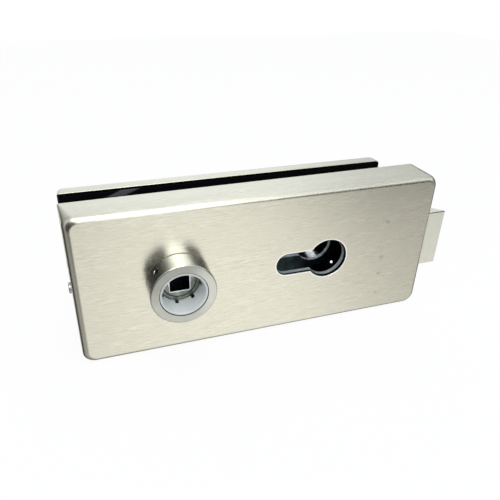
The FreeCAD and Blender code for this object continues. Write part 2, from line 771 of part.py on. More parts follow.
def bush(side, start, end, notch_start, notch_end):
    body = rod("y", "bush_outer", start, end, 0, 0)
    tools = [rod("y", "bush_bore", f"{start} - 1", f"{end} + 1", 0, 0)]
    for n in range(int(at("notch_count"))):
        slot = block(0, "bush_outer + 0.3", notch_start, notch_end, "-notch_width / 2", "notch_width / 2")
        turn = doc.addObject("Part::Compound", f"notch_{side}_{n}")
        turn.Links = [slot]
        angle = 360 * n / at("notch_count") + at("notch_turn")
        turn.Placement = FreeCAD.Placement(vector(), FreeCAD.Rotation(vector(0, 1, 0), angle))
        tools.append(turn)
    keep(cut(f"lever_bush_{side}", body, *tools))


collar_set("front", "collar_front", "front_face", "spigot_end", "front_face - 4.6")
collar_set("rear", "collar_rear", "rear_face", "rear_plate_front", "rear_face + 4.6")
bush("front", "bush_front", "bush_inner_end", "bush_inner_end - notch_depth", "bush_inner_end + 1")
bush("rear", "collar_rear - bush_recess - bush_length", "collar_rear - bush_recess",
     "collar_rear - bush_recess - bush_length - 1",
     "collar_rear - bush_recess - bush_length + notch_depth")

ring = cut("collar_ring_blank", rod("y", "ring_outer", "case_floor", "ring_end", 0, 0),
           rod("y", "groove_radius", "case_floor - 1", "ring_end + 1", 0, 0))
keep(cut("collar_retaining_ring", ring,
         block("-ring_opening / 2", "ring_opening / 2", "case_floor - 1", "ring_end + 1",
               "-ring_outer - 1", 0)))

# Follower that the lever spindle turns, its bearings and its square sleeve

for label, outer, y0, y1 in (("hub_bearing_front", "bush_outer", "front_face", "bearing_front_end"),
                             ("hub_bearing_back", "bearing_outer_back", "plate_front", "plate_rear")):
    keep(cut(label, rod("y", outer, y0, y1, 0, 0),
             rod("y", "journal_hole", f"{y0} - 1", f"{y1} + 1", 0, 0)))


def arm_shape():
    base = at("contact_radius")
    start = at("arm_start")
    end = start + at("latch_travel")
    flank = []
    for n in range(25):
        along = end * n / 24
        turn = (along - start) / base
        flank.append(vector(-along * math.cos(turn) + base * math.sin(turn), at("disc_front"),
                            along * math.sin(turn) + base * math.cos(turn)))
    curve = Part.BSplineCurve()
    curve.interpolate(flank)
    corners = [
        flank[-1],
        vector(at("arm_tip_x"), at("disc_front"), at("arm_tip_z")),
        vector(at("arm_foot_x"), at("disc_front"), at("arm_foot_z")),
        vector(at("arm_foot_x") / 2, at("disc_front"), 0),
        vector(flank[0].x, at("disc_front"), 0),
        flank[0],
    ]
    lines = [Part.LineSegment(corners[n], corners[n + 1]).toShape() for n in range(5)]
    face = Part.Face(Part.Wire([curve.toShape()] + lines))
    return face.extrude(vector(0, at("disc_thickness"), 0))


arm = doc.addObject("Part::Feature", "follower_arm")
arm.Shape = arm_shape()
hub = join(
    "follower_body",
    rod("y", "journal_radius", "follower_front", "follower_rear", 0, 0),
    rod("y", "shoulder_radius", "shoulder_front", "shoulder_rear", 0, 0),
    rod("y", "disc_radius", "disc_front", "disc_rear", 0, 0),
    rod("y", "arm_lug_radius", "disc_rear - 0.5", "disc_rear + arm_lug_height", "arm_lug_x", "arm_lug_z"),
    arm,
)
keep(cut("follower_hub", hub, block("-hub_square", "hub_square", "follower_front - 1", "follower_rear + 1",
                                    "-hub_square", "hub_square")))
keep(cut("square_sleeve",
         block("-sleeve_half", "sleeve_half", "follower_front - sleeve_stand", "follower_rear",
               "-sleeve_half", "sleeve_half"),
         block("-square_half", "square_half", "follower_front - 2", "follower_rear + 1",
               "-square_half", "square_half")))
keep(join("hub_stop_pin", rod("y", "arm_stop_radius", "case_floor - 1", "disc_rear", "stop_x", "stop_z")))
keep(join("return_stop_pin", rod("y", "return_stop_radius", "disc_rear + running_play * 3",
                                 "plate_rear - running_play", "return_stop_x", "return_stop_z")))

# Return spring of the follower


def return_spring_shape():
    wire = at("return_wire") / 2
    radius = at("return_radius")
    bend = at("return_bend")
    first = math.radians(at("return_stop_turn") - 2)
    last = math.radians(at("arm_lug_turn") + 1) + 4 * math.pi
    y0 = at("plate_front") - 0.2 - wire
    y1 = at("disc_rear") + 0.3 + wire
    points, tangents = [], []

    def add(radial, side, angle, level, toward_radial, toward_side):
        out = vector(math.cos(angle), 0, math.sin(angle))
        across = vector(-math.sin(angle), 0, math.cos(angle))
        points.append(out * radial + across * side + vector(0, level, 0))
        tangents.append((out * toward_radial + across * toward_side).normalize())

    reach = radius + bend + at("return_leg")
    add(reach, -bend, first, y0, -1, 0)
    add(radius + bend, -bend, first, y0, -1, 0)
    steps = 14
    for n in range(steps + 1):
        share = n / steps
        ease = share * share * (3 - 2 * share)
        slope = 6 * share * (1 - share) * (y1 - y0) / (last - first)
        angle = first + (last - first) * share
        add(radius, 0, angle, y0 + (y1 - y0) * ease, 0, 1)
        way = tangents[-1] * radius + vector(0, slope, 0)
        tangents[-1] = way.normalize()
    add(radius + bend, bend, last, y1, 1, 0)
    add(reach, bend, last, y1, 1, 0)
    return tube("hub_return_spring", points, tangents, wire, math.pi * radius)


spring = doc.addObject("Part::Feature", "hub_return_spring")
spring.Shape = return_spring_shape()
keep(spring)

# Latch bolt with its guides and cross pins

body = doc.addObject("PartDesign::Body", "latch_blank")
outline = [
    ("latch_root", "latch_front"),
    ("latch_tip", "latch_front"),
    ("latch_tip", "latch_front + latch_nose"),
    ("latch_bevel", "latch_back"),
    ("latch_root", "latch_back"),
]
sketch = draw(body, "latch_outline", outline, "-latch_half", "XY_Plane")
pad = body.newObject("PartDesign::Pad", "latch_pad")
pad.Profile = sketch
bind(pad, "Length", "latch_height")
holes = [block("latch_root - 1", "latch_slot_end", "slide_slot_front", "slide_slot_rear",
               "-tongue_play_half", "tongue_play_half")]
pins = []
for z in ("latch_pin_rise", "-latch_pin_rise"):
    holes.append(rod("y", "latch_pin_radius", "latch_front - 1", "latch_back + 1", "latch_pin_x", z))
    pins.append(rod("y", "latch_pin_radius", "latch_front", "latch_back", "latch_pin_x", z))
keep(cut("latch_bolt", body, *holes))
keep(join("latch_cross_pins", *pins))
keep(join("latch_guides",
          block("guide_start", "case_right", "case_floor", "plate_front", "guide_inner", "mouth_half"),
          block("guide_start", "case_right", "case_floor", "plate_front", "-mouth_half", "-guide_inner")))

# Slide between the follower and the latch

outline = [
    ("-hook_left", "hook_top"),
    ("hook_right", "hook_top"),
    ("hook_right", "rail_outer"),
    ("latch_root", "rail_outer"),
    ("latch_root", "tongue_half"),
    ("tongue_end", "tongue_half"),
    ("tongue_end", "-tongue_half"),
    ("latch_root", "-tongue_half"),
    ("latch_root", "yoke_bottom"),
    ("yoke_left", "yoke_bottom"),
    ("yoke_left", "-rail_outer"),
    ("lower_rail_left", "-rail_outer"),
    ("lower_rail_left", "-rail_inner"),
    ("yoke_left", "-rail_inner"),
    ("yoke_left", "rail_inner"),
    ("hook_step", "rail_inner"),
    ("hook_step", "hook_rise"),
    ("lug_face", "hook_rise"),
    ("lug_face", "lug_bottom"),
    ("lug_left", "lug_bottom"),
    ("lug_left", "hook_rise"),
    ("-hook_left", "hook_rise"),
]
blank = plate("slide_blank", outline, "slide_front", "slide_rear")
tab = block("tab_left", "tab_right", "slide_middle - tab_half", "slide_middle + tab_half",
            "yoke_bottom", "-room_middle + tab_half")
holes = []
for x, z in stud_spots:
    holes.append(rod("y", "stud_inner", "slide_front - 1", "slide_rear + 1", x, z))
    holes.append(rod("y", "stud_inner", "slide_front - 1", "slide_rear + 1", f"{x} + latch_travel", z))
    holes.append(block(x, f"{x} + latch_travel", "slide_front - 1", "slide_rear + 1",
                       f"{z} - stud_inner", f"{z} + stud_inner"))
holes.append(rod("y", "slide_pin_radius", "slide_front - 1", "slide_rear + 1",
                 "slide_pin_x", "slide_pin_z"))
for z in ("latch_pin_rise", "-latch_pin_rise"):
    holes.append(rod("y", "latch_pin_radius", "slide_front - 1", "slide_rear + 1", "latch_pin_x", z))
keep(cut("latch_slide", join("slide_body", blank, tab), *holes))
keep(join("slide_link_pin", rod("y", "slide_pin_radius", "slide_front", "changer_rear", "slide_pin_x",
                                "slide_pin_z")))

parts = []
for x, z in stud_spots:
    parts.append(join("slide_stud",
                      rod("y", "stud_radius", "case_floor - 1", "slide_rear + stud_play", x, z),
                      rod("y", "stud_foot", "case_floor", "slide_front - running_play", x, z),
                      rod("y", "stud_foot", "slide_rear + running_play", "slide_rear + stud_head", x, z)))
keep(join("slide_studs", *parts))

# Spring that throws the latch, and its guide rod


def latch_spring_shape():
    wire = at("spring_wire") / 2
    radius = at("spring_radius")
    start = at("bracket_right") + wire + 0.05
    end = at("tab_left") - wire - 0.05
    turns = at("spring_turns")
    count = int(round(turns * 4))
    points, tangents = [], []
    for n in range(count + 1):
        angle = 2 * math.pi * turns * n / count
        points.append(vector(start + (end - start) * n / count,
                             at("slide_middle") + radius * math.cos(angle),
                             -at("room_middle") + radius * math.sin(angle)))
        tangents.append(vector((end - start) / (2 * math.pi * turns), -radius * math.sin(angle),
                               radius * math.cos(angle)).normalize())
    return tube("latch_spring", points, tangents, wire, math.pi * radius)


spring = doc.addObject("Part::Feature", "latch_spring")
spring.Shape = latch_spring_shape()
keep(spring)
keep(join("spring_guide_rod", rod("x", "rod_radius", "bracket_left", "rod_end",
                                  "slide_middle", "-room_middle")))

# Changer lever, which the cam of the cylinder moves

layer = ("changer_front", "changer_rear")
pivot = ("changer_pivot_x", "changer_pivot_z")
crank = ("crank_x", "crank_z")
shank = ("shank_x", "shank_z")
link = ("slide_pin_x", "slide_pin_z")
nose = ("nose_x", "nose_z")
lever = join(
    "changer_body",
    rod("y", "boss_radius", *layer, *pivot),
    bar("changer_top", pivot, crank, "changer_half", *layer),
    rod("y", "changer_half", *layer, *crank),
    bar("changer_side", crank, shank, "changer_half", *layer),
    rod("y", "changer_half", *layer, *shank),
    bar("changer_foot", shank, link, "changer_half", *layer),
    rod("y", "changer_half + 0.2", *layer, *link),
    bar("changer_nose", pivot, nose, "changer_nose_width / 2", *layer),
    rod("y", "changer_nose_width / 2", *layer, *nose),
)
slot = ("changer_front - 1", "changer_rear + 1")
slot_top = ("slide_pin_x - 0.06", "slide_pin_z + 0.6")
slot_low = ("slide_pin_x + 0.02", "slide_pin_z - 0.2")
slot_half = "slide_pin_radius + slide_pin_play"
keep(cut("changer_lever", lever,
         rod("y", "changer_pin_radius + running_play", *slot, *pivot),
         rod("y", slot_half, *slot, *slot_top),
         rod("y", slot_half, *slot, *slot_low),
         bar("changer_slot", slot_top, slot_low, slot_half, *slot)))
keep(join("changer_pivot_pin", rod("y", "changer_pin_radius", "case_floor + 1", "plate_rear - running_play",
                                   *pivot)))

# Screws

screw_y = "cylinder_screw_y"
screw = join("cylinder_screw_blank",
             rod("z", "cylinder_screw_radius", "-case_top + cylinder_head_height - 0.5",
                 "-cylinder_screw_tip", "cylinder_screw_x", screw_y),
             rod("z", "cylinder_head_radius", "-case_top", "-case_top + cylinder_head_height",
                 "cylinder_screw_x", screw_y))
keep(cut("cylinder_fixing_screw", screw,
         rod("z", "clamp_socket_radius", "-case_top - 1", "-case_top + 1.4", "cylinder_screw_x", screw_y)))

parts = []
for x, z in case_screw_spots:
    shaft = join("case_screw_blank",
                 rod("y", "case_screw_radius", "plate_rear - case_screw_length", "plate_rear", x, z),
                 taper("y", "case_screw_radius", "case_head_radius", "plate_rear - case_head_height",
                       "plate_rear", x, z))
    parts.append(cut("case_screw", shaft, rod("y", "cover_socket_radius", "plate_rear - 0.8",
                                              "plate_rear + 1", x, z)))
keep(join("case_screws", *parts))


def cover_screw(side, wall, y, z, length):
    sign = "-" if side == "left" else "+"
    other = "+" if side == "left" else "-"
    outer = f"{wall} {sign} cover_head_height"
    inner = f"{wall} {other} {length}"
    low, high = (outer, inner) if side == "left" else (inner, outer)
    head_low, head_high = (outer, wall) if side == "left" else (wall, outer)
    dent = (f"{outer} - 1", f"{outer} + cover_socket_depth") if side == "left" else (
        f"{outer} - cover_socket_depth", f"{outer} + 1")
    shaft = join("cover_screw_blank", rod("x", "cover_screw_radius", low, high, y, z),
                 rod("x", "cover_head_radius", head_low, head_high, y, z))
    return cut("cover_screw", shaft, rod("x", "cover_socket_radius", *dent, y, z))


parts = [cover_screw("left", "left_end", "cover_screw_y", 0, "cover_screw_length")]
for z in right_cover_screws:
    parts.append(cover_screw("right", "right_end", "cover_screw_y", z, "cover_screw_length"))
keep(join("front_cover_screws", *parts))
keep(join("rear_cover_screws",
          cover_screw("left", "left_end", "rear_screw_y", 0, "rear_screw_length"),
          cover_screw("right", "rear_right_end", "rear_screw_y", 0, "rear_screw_length")))

sleeves, screws = [], []
for x, z in clamp_spots:
    body = join("clamp_sleeve_blank",
                rod("y", "clamp_sleeve_radius", "plate_rear", "rear_plate_front", x, z),
                rod("y", "clamp_neck_radius", "plate_front", "plate_rear", x, z),
                rod("y", "clamp_dome_radius", "plate_front - clamp_dome_height", "plate_front", x, z))
    sleeves.append(cut("clamp_sleeve", body, rod("y", "clamp_screw_radius", "rear_plate_front - clamp_bite",
                                                 "rear_plate_front + 1", x, z)))
    shaft = join("clamp_screw_blank",
                 rod("y", "clamp_screw_radius", "rear_plate_front - clamp_bite + clamp_end_play",
                     "rear_plate_back", x, z),
                 taper("y", "clamp_screw_radius", "clamp_head_radius",
                       "rear_plate_back - clamp_head_height", "rear_plate_back", x, z))
    screws.append(cut("clamp_screw", shaft, rod("y", "clamp_socket_radius", "rear_plate_back - 1.8",
                                                "rear_plate_back + 1", x, z)))
keep(join("clamp_sleeves", *sleeves))
keep(join("clamp_screws", *screws))

doc.recompute()

# Every object is checked before the pieces are written

for item in doc.Objects:
    if "Invalid" in item.State or "Error" in item.State:
        raise RuntimeError(f"{item.Label} is in the state {item.State}")
for item in pieces:
    if item.Shape.isNull() or not item.Shape.isValid():
        raise RuntimeError(f"{item.Label} has no valid shape")

os.makedirs("parts", exist_ok=True)
for item in pieces:
    item.Shape.exportStep(f"parts/{item.Label}.step")
print(len(pieces), "pieces written")
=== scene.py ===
import math

import bmesh
import bpy
from mathutils import Matrix, Vector


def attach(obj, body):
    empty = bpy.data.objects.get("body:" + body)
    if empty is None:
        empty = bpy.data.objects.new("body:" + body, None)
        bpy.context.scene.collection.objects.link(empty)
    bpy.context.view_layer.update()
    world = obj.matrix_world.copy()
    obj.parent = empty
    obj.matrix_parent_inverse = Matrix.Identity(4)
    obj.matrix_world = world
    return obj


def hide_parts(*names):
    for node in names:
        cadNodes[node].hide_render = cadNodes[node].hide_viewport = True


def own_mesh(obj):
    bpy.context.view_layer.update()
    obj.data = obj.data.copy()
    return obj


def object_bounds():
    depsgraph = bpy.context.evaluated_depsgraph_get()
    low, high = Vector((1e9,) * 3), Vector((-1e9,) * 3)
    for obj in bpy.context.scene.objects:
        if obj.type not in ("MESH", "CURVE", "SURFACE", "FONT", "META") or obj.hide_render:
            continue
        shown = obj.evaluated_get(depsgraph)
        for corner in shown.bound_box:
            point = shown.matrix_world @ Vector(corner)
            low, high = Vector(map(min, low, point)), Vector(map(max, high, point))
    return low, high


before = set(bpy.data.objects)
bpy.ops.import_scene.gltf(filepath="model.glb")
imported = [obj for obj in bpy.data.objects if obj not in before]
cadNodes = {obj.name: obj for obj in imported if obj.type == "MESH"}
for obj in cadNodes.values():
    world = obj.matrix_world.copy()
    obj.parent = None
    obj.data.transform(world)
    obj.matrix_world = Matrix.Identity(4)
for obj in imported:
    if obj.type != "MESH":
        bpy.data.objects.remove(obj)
cadBox = [list(corner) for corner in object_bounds()]
print("frame loaded,", len(cadNodes), "nodes")

millimetre = 0.001
axisGap = 0.02  # turned sections start this far from their axis, in millimetres


# shader values, written as formulas


class ShaderValue:
    def __init__(self, graph, socket):
        self.graph = graph
        self.socket = socket

    def maths(self, operation, first, second=None):
        inputs = {0: first} if second is None else {0: first, 1: second}
        return self.graph.add("Math", {"operation": operation}, inputs)

    def __add__(self, other):
        return self.maths("ADD", self, other)

    def __radd__(self, other):
        return self.maths("ADD", other, self)

    def __sub__(self, other):
        return self.maths("SUBTRACT", self, other)

    def __rsub__(self, other):
        return self.maths("SUBTRACT", other, self)

    def __mul__(self, other):
        return self.maths("MULTIPLY", self, other)

    def __rmul__(self, other):
        return self.maths("MULTIPLY", other, self)

    def __truediv__(self, other):
        return self.maths("DIVIDE", self, other)

    def __rtruediv__(self, other):
        return self.maths("DIVIDE", other, self)

    def __pow__(self, other):
        return self.maths("POWER", self, other)

    def __neg__(self):
        return self.maths("MULTIPLY", self, -1.0)

    def least(self, other):
        return self.maths("MINIMUM", self, other)

    def most(self, other):
        return self.maths("MAXIMUM", self, other)

    def size(self):
        return self.maths("ABSOLUTE", self)

    def turnFrom(self, other):  # the angle that self over other gives
        return self.maths("ARCTAN2", self, other)

    def step(self, low, high):  # 0 below low, 1 above high, smooth between
        settings = {"interpolation_type": "SMOOTHSTEP"}
        inputs = {0: self, 1: low, 2: high, 3: 0.0, 4: 1.0}
        return self.graph.add("MapRange", settings, inputs)


class ShaderGraph:
    def __init__(self, tree):
        self.tree = tree
        tree.nodes.clear()

    def add(self, kind, settings=None, inputs=None, out=0):
        node = self.tree.nodes.new("ShaderNode" + kind)
        for name, value in (settings or {}).items():
            setattr(node, name, value)
        for key, value in (inputs or {}).items():
            if isinstance(value, ShaderValue):
                self.tree.links.new(value.socket, node.inputs[key])
            else:
                node.inputs[key].default_value = value
        return ShaderValue(self, node.outputs[out]) if node.outputs else None

    def finish(self, inputs):
        self.add("OutputMaterial", {}, {0: self.add("BsdfPrincipled", {}, inputs)})

    def place(self):
        return self.add("TexCoord", out="Object")

    def normal(self):
        return self.add("TexCoord", out="Normal")

    def axes(self, vector):
        return [self.add("SeparateXYZ", inputs={0: vector}, out=axis) for axis in "XYZ"]

    def stretch(self, vector, scale):
        scale = scale if isinstance(scale, tuple) else (scale, scale, scale)
        return self.add("VectorMath", {"operation": "MULTIPLY"}, {0: vector, 1: scale})

    def noise(self, vector, scale, detail, rough=0.5):
        inputs = {"Vector": vector, "Scale": scale, "Detail": detail, "Roughness": rough}
        return self.add("TexNoise", {}, inputs)

    def blend(self, factor, first, second):
        settings = {"data_type": "RGBA", "clamp_factor": True}
        return self.add("Mix", settings, {0: factor, 6: colour(first), 7: colour(second)}, 2)

    def tint(self, shade, share):
        settings = {"operation": "SCALE"}
        return self.add("VectorMath", settings, {0: shade, 3: share})

    def facing(self):  # 1 where the surface lies square to the spindle, 0 on its sides
        return self.axes(self.normal())[1].size().step(0.80, 0.95)

    def depth(self, first, last):  # 0 in front of the first y, 1 behind the last, in millimetres
        return self.axes(self.place())[1].step(first * millimetre, last * millimetre)

    def bump(self, height, strength, distance):
        inputs = {"Height": height, "Strength": strength, "Distance": distance}
        return self.add("Bump", {}, inputs)


def colour(value):
    return value if isinstance(value, ShaderValue) else (*value, 1.0)


def newFinish(name):
    material = bpy.data.materials.new(name)
    material.use_nodes = True
    return material, ShaderGraph(material.node_tree)


# metals: fine lines along the brushing that come and go in slow patches, and a little bump

grain = {"patchiness": 2.6, "bumpDepth": 0.00005, "leastRoughness": 0.05, "stainFade": 0.3}


def brushedMetal(name, look):
    material, graph = newFinish(name)
    point = graph.place()
    fine = graph.noise(graph.stretch(point, look["lines"]), 1.0, 3.0, 0.6)
    slow = graph.noise(graph.stretch(point, look["clouds"]), 1.0, 2.0)
    streaks = (fine - 0.5) * (slow * grain["patchiness"] - 0.5) * look["streak"]
    share = streaks + (slow - 0.5) * look["cloud"] + 1.0
    base = graph.tint(look["colour"], share)
    if "faceColour" in look:  # painted shade: the faces parallel to the glass are darker than the cut edges
        base = graph.blend(graph.facing(), base, graph.tint(look["faceColour"], share))
    if "stains" in look:  # faint marks on the front face, as x, z and radius in millimetres
        x, y, z = graph.axes(point)
        front = 1.0 - graph.depth(*look["stainsBefore"])
        for cx, cz, radius in look["stains"]:
            across, up = x - cx * millimetre, z - cz * millimetre
            apart = (across * across + up * up) ** 0.5
            mark = apart.step(radius * millimetre, radius * grain["stainFade"] * millimetre) * front
            base = graph.blend(mark * look["stainShare"], base, look["stainColour"])
    if "shadedFrom" in look:  # painted shade: nearly black towards the latch, on the faces only
        start, end = (value * millimetre for value in look["shadedFrom"])
        deepShade = graph.axes(point)[0].step(start, end) * graph.facing()
        base = graph.blend(deepShade, base, look["deepShadeColour"])
    if "edgeShadeColour" in look:  # painted shade: a dark line where the front face turns to the top
        ny, nz = graph.axes(graph.normal())[1:]
        edgeShade = (-ny).step(*look["edgeFront"]) * nz.step(*look["edgeTop"])
        base = graph.blend(edgeShade, base, look["edgeShadeColour"])
    if "shadedBefore" in look:  # painted shade: dark in front of a depth, or behind one
        base = graph.blend(graph.depth(*look["shadedBefore"]), look["shadeColour"], base)
    if "shadedAfter" in look:
        base = graph.blend(graph.depth(*look["shadedAfter"]), base, look["shadeColour"])
    rough = (fine - 0.5) * look["uneven"] + (slow - 0.5) * look["uneven"] + look["roughness"]
    glow = (1.0, 1.0, 0.98, 1.0)
    if "glint" in look:  # a small bright spot, painted where the dome faces this way
        nx, ny, nz = graph.axes(graph.normal())
        gx, gy, gz = look["glint"]
        spot = (nx * gx + ny * gy + nz * gz).step(*look["glintEdge"])
        glow = graph.blend(spot, (0.0, 0.0, 0.0), (1.0, 1.0, 1.0))
    graph.finish({
        "Base Color": base,
        "Roughness": rough.most(grain["leastRoughness"]),
        "Metallic": look.get("metallic", 1.0),
        "Normal": graph.bump(fine, look["depth"], grain["bumpDepth"]),
        "Anisotropic": look.get("anisotropy", 0.0),
        "Anisotropic Rotation": look.get("turn", 0.0),
        "Emission Color": glow,
        "Emission Strength": look.get("glow", 0.0),
    })
    return material


turning = {"fineness": 6000.0, "along": 1.2, "patches": 260.0, "ringFade": 0.00001,
           "shadeRingColour": (0.01, 0.01, 0.01)}


def turnedMetal(name, look):  # lines run round the spindle axis
    material, graph = newFinish(name)
    across, depth, up = graph.axes(graph.place())
    radius = (across * across + up * up) ** 0.5
    inputs = {0: radius * turning["fineness"], 1: depth * turning["fineness"],
              2: up.turnFrom(across) * turning["along"]}
    fine = graph.noise(graph.add("CombineXYZ", {}, inputs), 1.0, 3.0, 0.6)
    slow = graph.noise(graph.place(), turning["patches"], 2.0)
    share = (fine - 0.5) * look["streak"] + (slow - 0.5) * look["cloud"] + 1.0
    face = graph.facing()
    rough = face * (look["faceRoughness"] - look["roughness"]) + look["roughness"]
    # painted light and shade on the ring faces: lighter to the right, darker on the upper left
    upperLeft = ((up * 0.866 - across * 0.5) / radius).step(0.1, 0.9)  # 30 degrees left of the top
    right = (across / radius).step(0.3, 1.0)
    paintedLight = right * look.get("paintedLight", 0.0) - upperLeft * look.get("shade", 0.0)
    # the ring faces take their own colour; on the collars it is darker, as painted shade
    lit = graph.tint(look["faceColour"], share * (paintedLight + 1.0))
    base = graph.blend(face, graph.tint(look["colour"], share), lit)
    if "shadeRing" in look:  # painted shade in the gap at the bore's edge, from one radius to another, in millimetres
        low, high = (value * millimetre for value in look["shadeRing"])
        fade = turning["ringFade"]
        ring = radius.step(low - fade, low + fade) * radius.step(high + 2 * fade, high - 2 * fade)
        base = graph.blend(ring, base, turning["shadeRingColour"])
    graph.finish({
        "Base Color": base,
        "Roughness": ((fine - 0.5) * look["uneven"] + rough).most(grain["leastRoughness"]),
        "Metallic": 1.0,
        "Normal": graph.bump(fine, look["depth"], grain["bumpDepth"]),
    })
    return material


moulding = {"light": 1.25, "lift": 0.004, "dark": 0.8, "grain": 0.5, "patches": 0.6, "uneven": 0.2,
            "bumpDepth": 0.0001}


def mouldedFinish(name, look):  # plastics and soft sheet
    material, graph = newFinish(name)
    point = graph.place()
    speckle = graph.noise(point, look["grain"], 3.0, 0.6)
    slow = graph.noise(point, look["patch"], 2.0)
    light = tuple(min(part * moulding["light"] + moulding["lift"], 1.0) for part in look["colour"])
    dark = tuple(part * moulding["dark"] for part in look["colour"])
    share = (speckle - 0.5) * moulding["grain"] + (slow - 0.5) * moulding["patches"] + 0.5
    base = graph.blend(share, dark, light)
    # painted shade: the ends, square to the spindle, are darker than the rest
    if "faceColour" in look:
        base = graph.blend(graph.facing(), base, look["faceColour"])
    if "reflectionStreak" in look:  # painted reflection: a pale slanting streak near the top edge, behind the glass
        x, y, z = graph.axes(point)
        slant = (x - z * look["reflectionSlope"]) * (1.0 / millimetre)
        first, full, fading, last = look["reflectionStreak"]
        mark = slant.step(first, full) * slant.step(last, fading) * y.step(0.0, millimetre)
        low, high = (value * millimetre for value in look["reflectionRise"])
        base = graph.blend(mark * z.step(low, high), base, look["reflectionColour"])
    graph.finish({
        "Base Color": base,
        "Roughness": ((slow - 0.5) * moulding["uneven"] + look["roughness"]).most(grain["leastRoughness"]),
        "Normal": graph.bump(speckle, look["depth"], moulding["bumpDepth"]),
        "Specular IOR Level": look.get("gloss", 0.5),
    })
    return material


coverSteel = brushedMetal("coverSteel", {
    "colour": (0.835, 0.81, 0.67), "lines": (220, 4200, 4200), "clouds": (60, 260, 260), "streak": 0.85,
    "cloud": 0.10, "uneven": 0.08, "roughness": 0.27, "depth": 0.04, "anisotropy": 0.65, "turn": 0.25,
    "stains": [(99.8, 14.8, 1.5), (99.4, -4.2, 1.7), (99.3, -13.3, 1.3), (99.5, -24.7, 1.3)],
    "stainsBefore": (-21.4, -21.2), "stainShare": 0.32, "stainColour": (0.30, 0.30, 0.27),
})
# painted highlight: a white rim with a faint glow round the keyhole
rimSteel = brushedMetal("rimSteel", {
    "colour": (1.0, 0.995, 0.95), "lines": 900, "clouds": 300, "streak": 0.03, "cloud": 0.03,
    "uneven": 0.05, "roughness": 0.22, "depth": 0.03, "glow": 0.06,
})
# painted shade: nearly black on the cover's raw edge at the glass and on the keyhole's wall
shadedCutSteel = brushedMetal("shadedCutSteel", {
    "colour": (0.035, 0.038, 0.035), "lines": 1200, "clouds": 250, "streak": 0.4, "cloud": 0.4,
    "uneven": 0.1, "roughness": 0.40, "depth": 0.20,
})
insideSteel = brushedMetal("insideSteel", {
    "colour": (0.30, 0.30, 0.28), "lines": 900, "clouds": 120, "streak": 0.4, "cloud": 0.4, "uneven": 0.1,
    "roughness": 0.42, "depth": 0.15,
})
# clamping sleeves: painted shade on their front 3 mm, inside the case
clampSteel = brushedMetal("clampSteel", {
    "colour": (0.78, 0.82, 0.82), "lines": 1300, "clouds": 420, "streak": 0.6, "cloud": 1.6, "uneven": 0.15,
    "roughness": 0.34, "depth": 0.10, "shadedBefore": (-5.1, -5.0), "shadeColour": (0.012, 0.013, 0.014),
})
# latch bolt: a painted shade line along the edge where the front face meets the top
latchNickel = brushedMetal("latchNickel", {
    "colour": (0.97, 0.955, 0.82), "lines": (600, 600, 60), "clouds": 90, "streak": 0.05, "cloud": 0.08,
    "uneven": 0.10, "roughness": 0.40, "depth": 0.04, "metallic": 0.72, "edgeShadeColour": (0.03, 0.03, 0.03),
    "edgeFront": (0.15, 0.4), "edgeTop": (0.05, 0.15),
})
# lock case: painted shade over its whole front face
castMetal = brushedMetal("castMetal", {
    "colour": (0.50, 0.55, 0.545), "lines": 1500, "clouds": 260, "streak": 0.7, "cloud": 0.6,
    "uneven": 0.15, "roughness": 0.45, "depth": 0.30, "shadedBefore": (-20.25, -20.15),
    "shadeColour": (0.02, 0.022, 0.02), "metallic": 0.3,
})
# plates: painted shade on their faces, nearly black towards the latch
plateSteel = brushedMetal("plateSteel", {
    "colour": (0.62, 0.66, 0.66), "lines": 1100, "clouds": 320, "streak": 0.8, "cloud": 2.2, "uneven": 0.15,
    "roughness": 0.42, "depth": 0.25, "faceColour": (0.10, 0.14, 0.145), "metallic": 0.3,
    "shadedFrom": (57, 68), "deepShadeColour": (0.006, 0.008, 0.013),
})
mechanismSteel = brushedMetal("mechanismSteel", {
    "colour": (0.52, 0.54, 0.53), "lines": 900, "clouds": 150, "streak": 0.3, "cloud": 0.3, "uneven": 0.12,
    "roughness": 0.36, "depth": 0.15,
})
brightSteel = brushedMetal("brightSteel", {
    "colour": (0.80, 0.81, 0.80), "lines": 2500, "clouds": 220, "streak": 0.15, "cloud": 0.15,
    "uneven": 0.08, "roughness": 0.20, "depth": 0.05,
})
rivetSteel = brushedMetal("rivetSteel", {
    "colour": (0.70, 0.71, 0.70), "lines": 2500, "clouds": 220, "streak": 0.15, "cloud": 0.15,
    "uneven": 0.08, "roughness": 0.20, "depth": 0.05, "glint": (-0.37, -0.83, 0.42),
    "glintEdge": (0.90, 0.96), "glow": 1.3,
})
# square sleeve: painted shade on all of it behind the bright front rim
sleeveSteel = brushedMetal("sleeveSteel", {
    "colour": (1.0, 1.0, 1.0), "lines": 2500, "clouds": 220, "streak": 0.10, "cloud": 0.10, "uneven": 0.08,
    "roughness": 0.22, "depth": 0.05, "shadedAfter": (-21.45, -21.15), "shadeColour": (0.012, 0.012, 0.022),
})
screwSteel = brushedMetal("screwSteel", {
    "colour": (0.58, 0.58, 0.55), "lines": 2500, "clouds": 300, "streak": 0.25, "cloud": 0.25,
    "uneven": 0.1, "roughness": 0.32, "depth": 0.10,
})
grubSteel = brushedMetal("grubSteel", {
    "colour": (0.20, 0.20, 0.19), "lines": 2500, "clouds": 300, "streak": 0.3, "cloud": 0.3, "uneven": 0.1,
    "roughness": 0.28, "depth": 0.10,
})
springSteel = brushedMetal("springSteel", {
    "colour": (0.40, 0.41, 0.42), "lines": 1800, "clouds": 300, "streak": 0.3, "cloud": 0.3, "uneven": 0.1,
    "roughness": 0.34, "depth": 0.10,
})
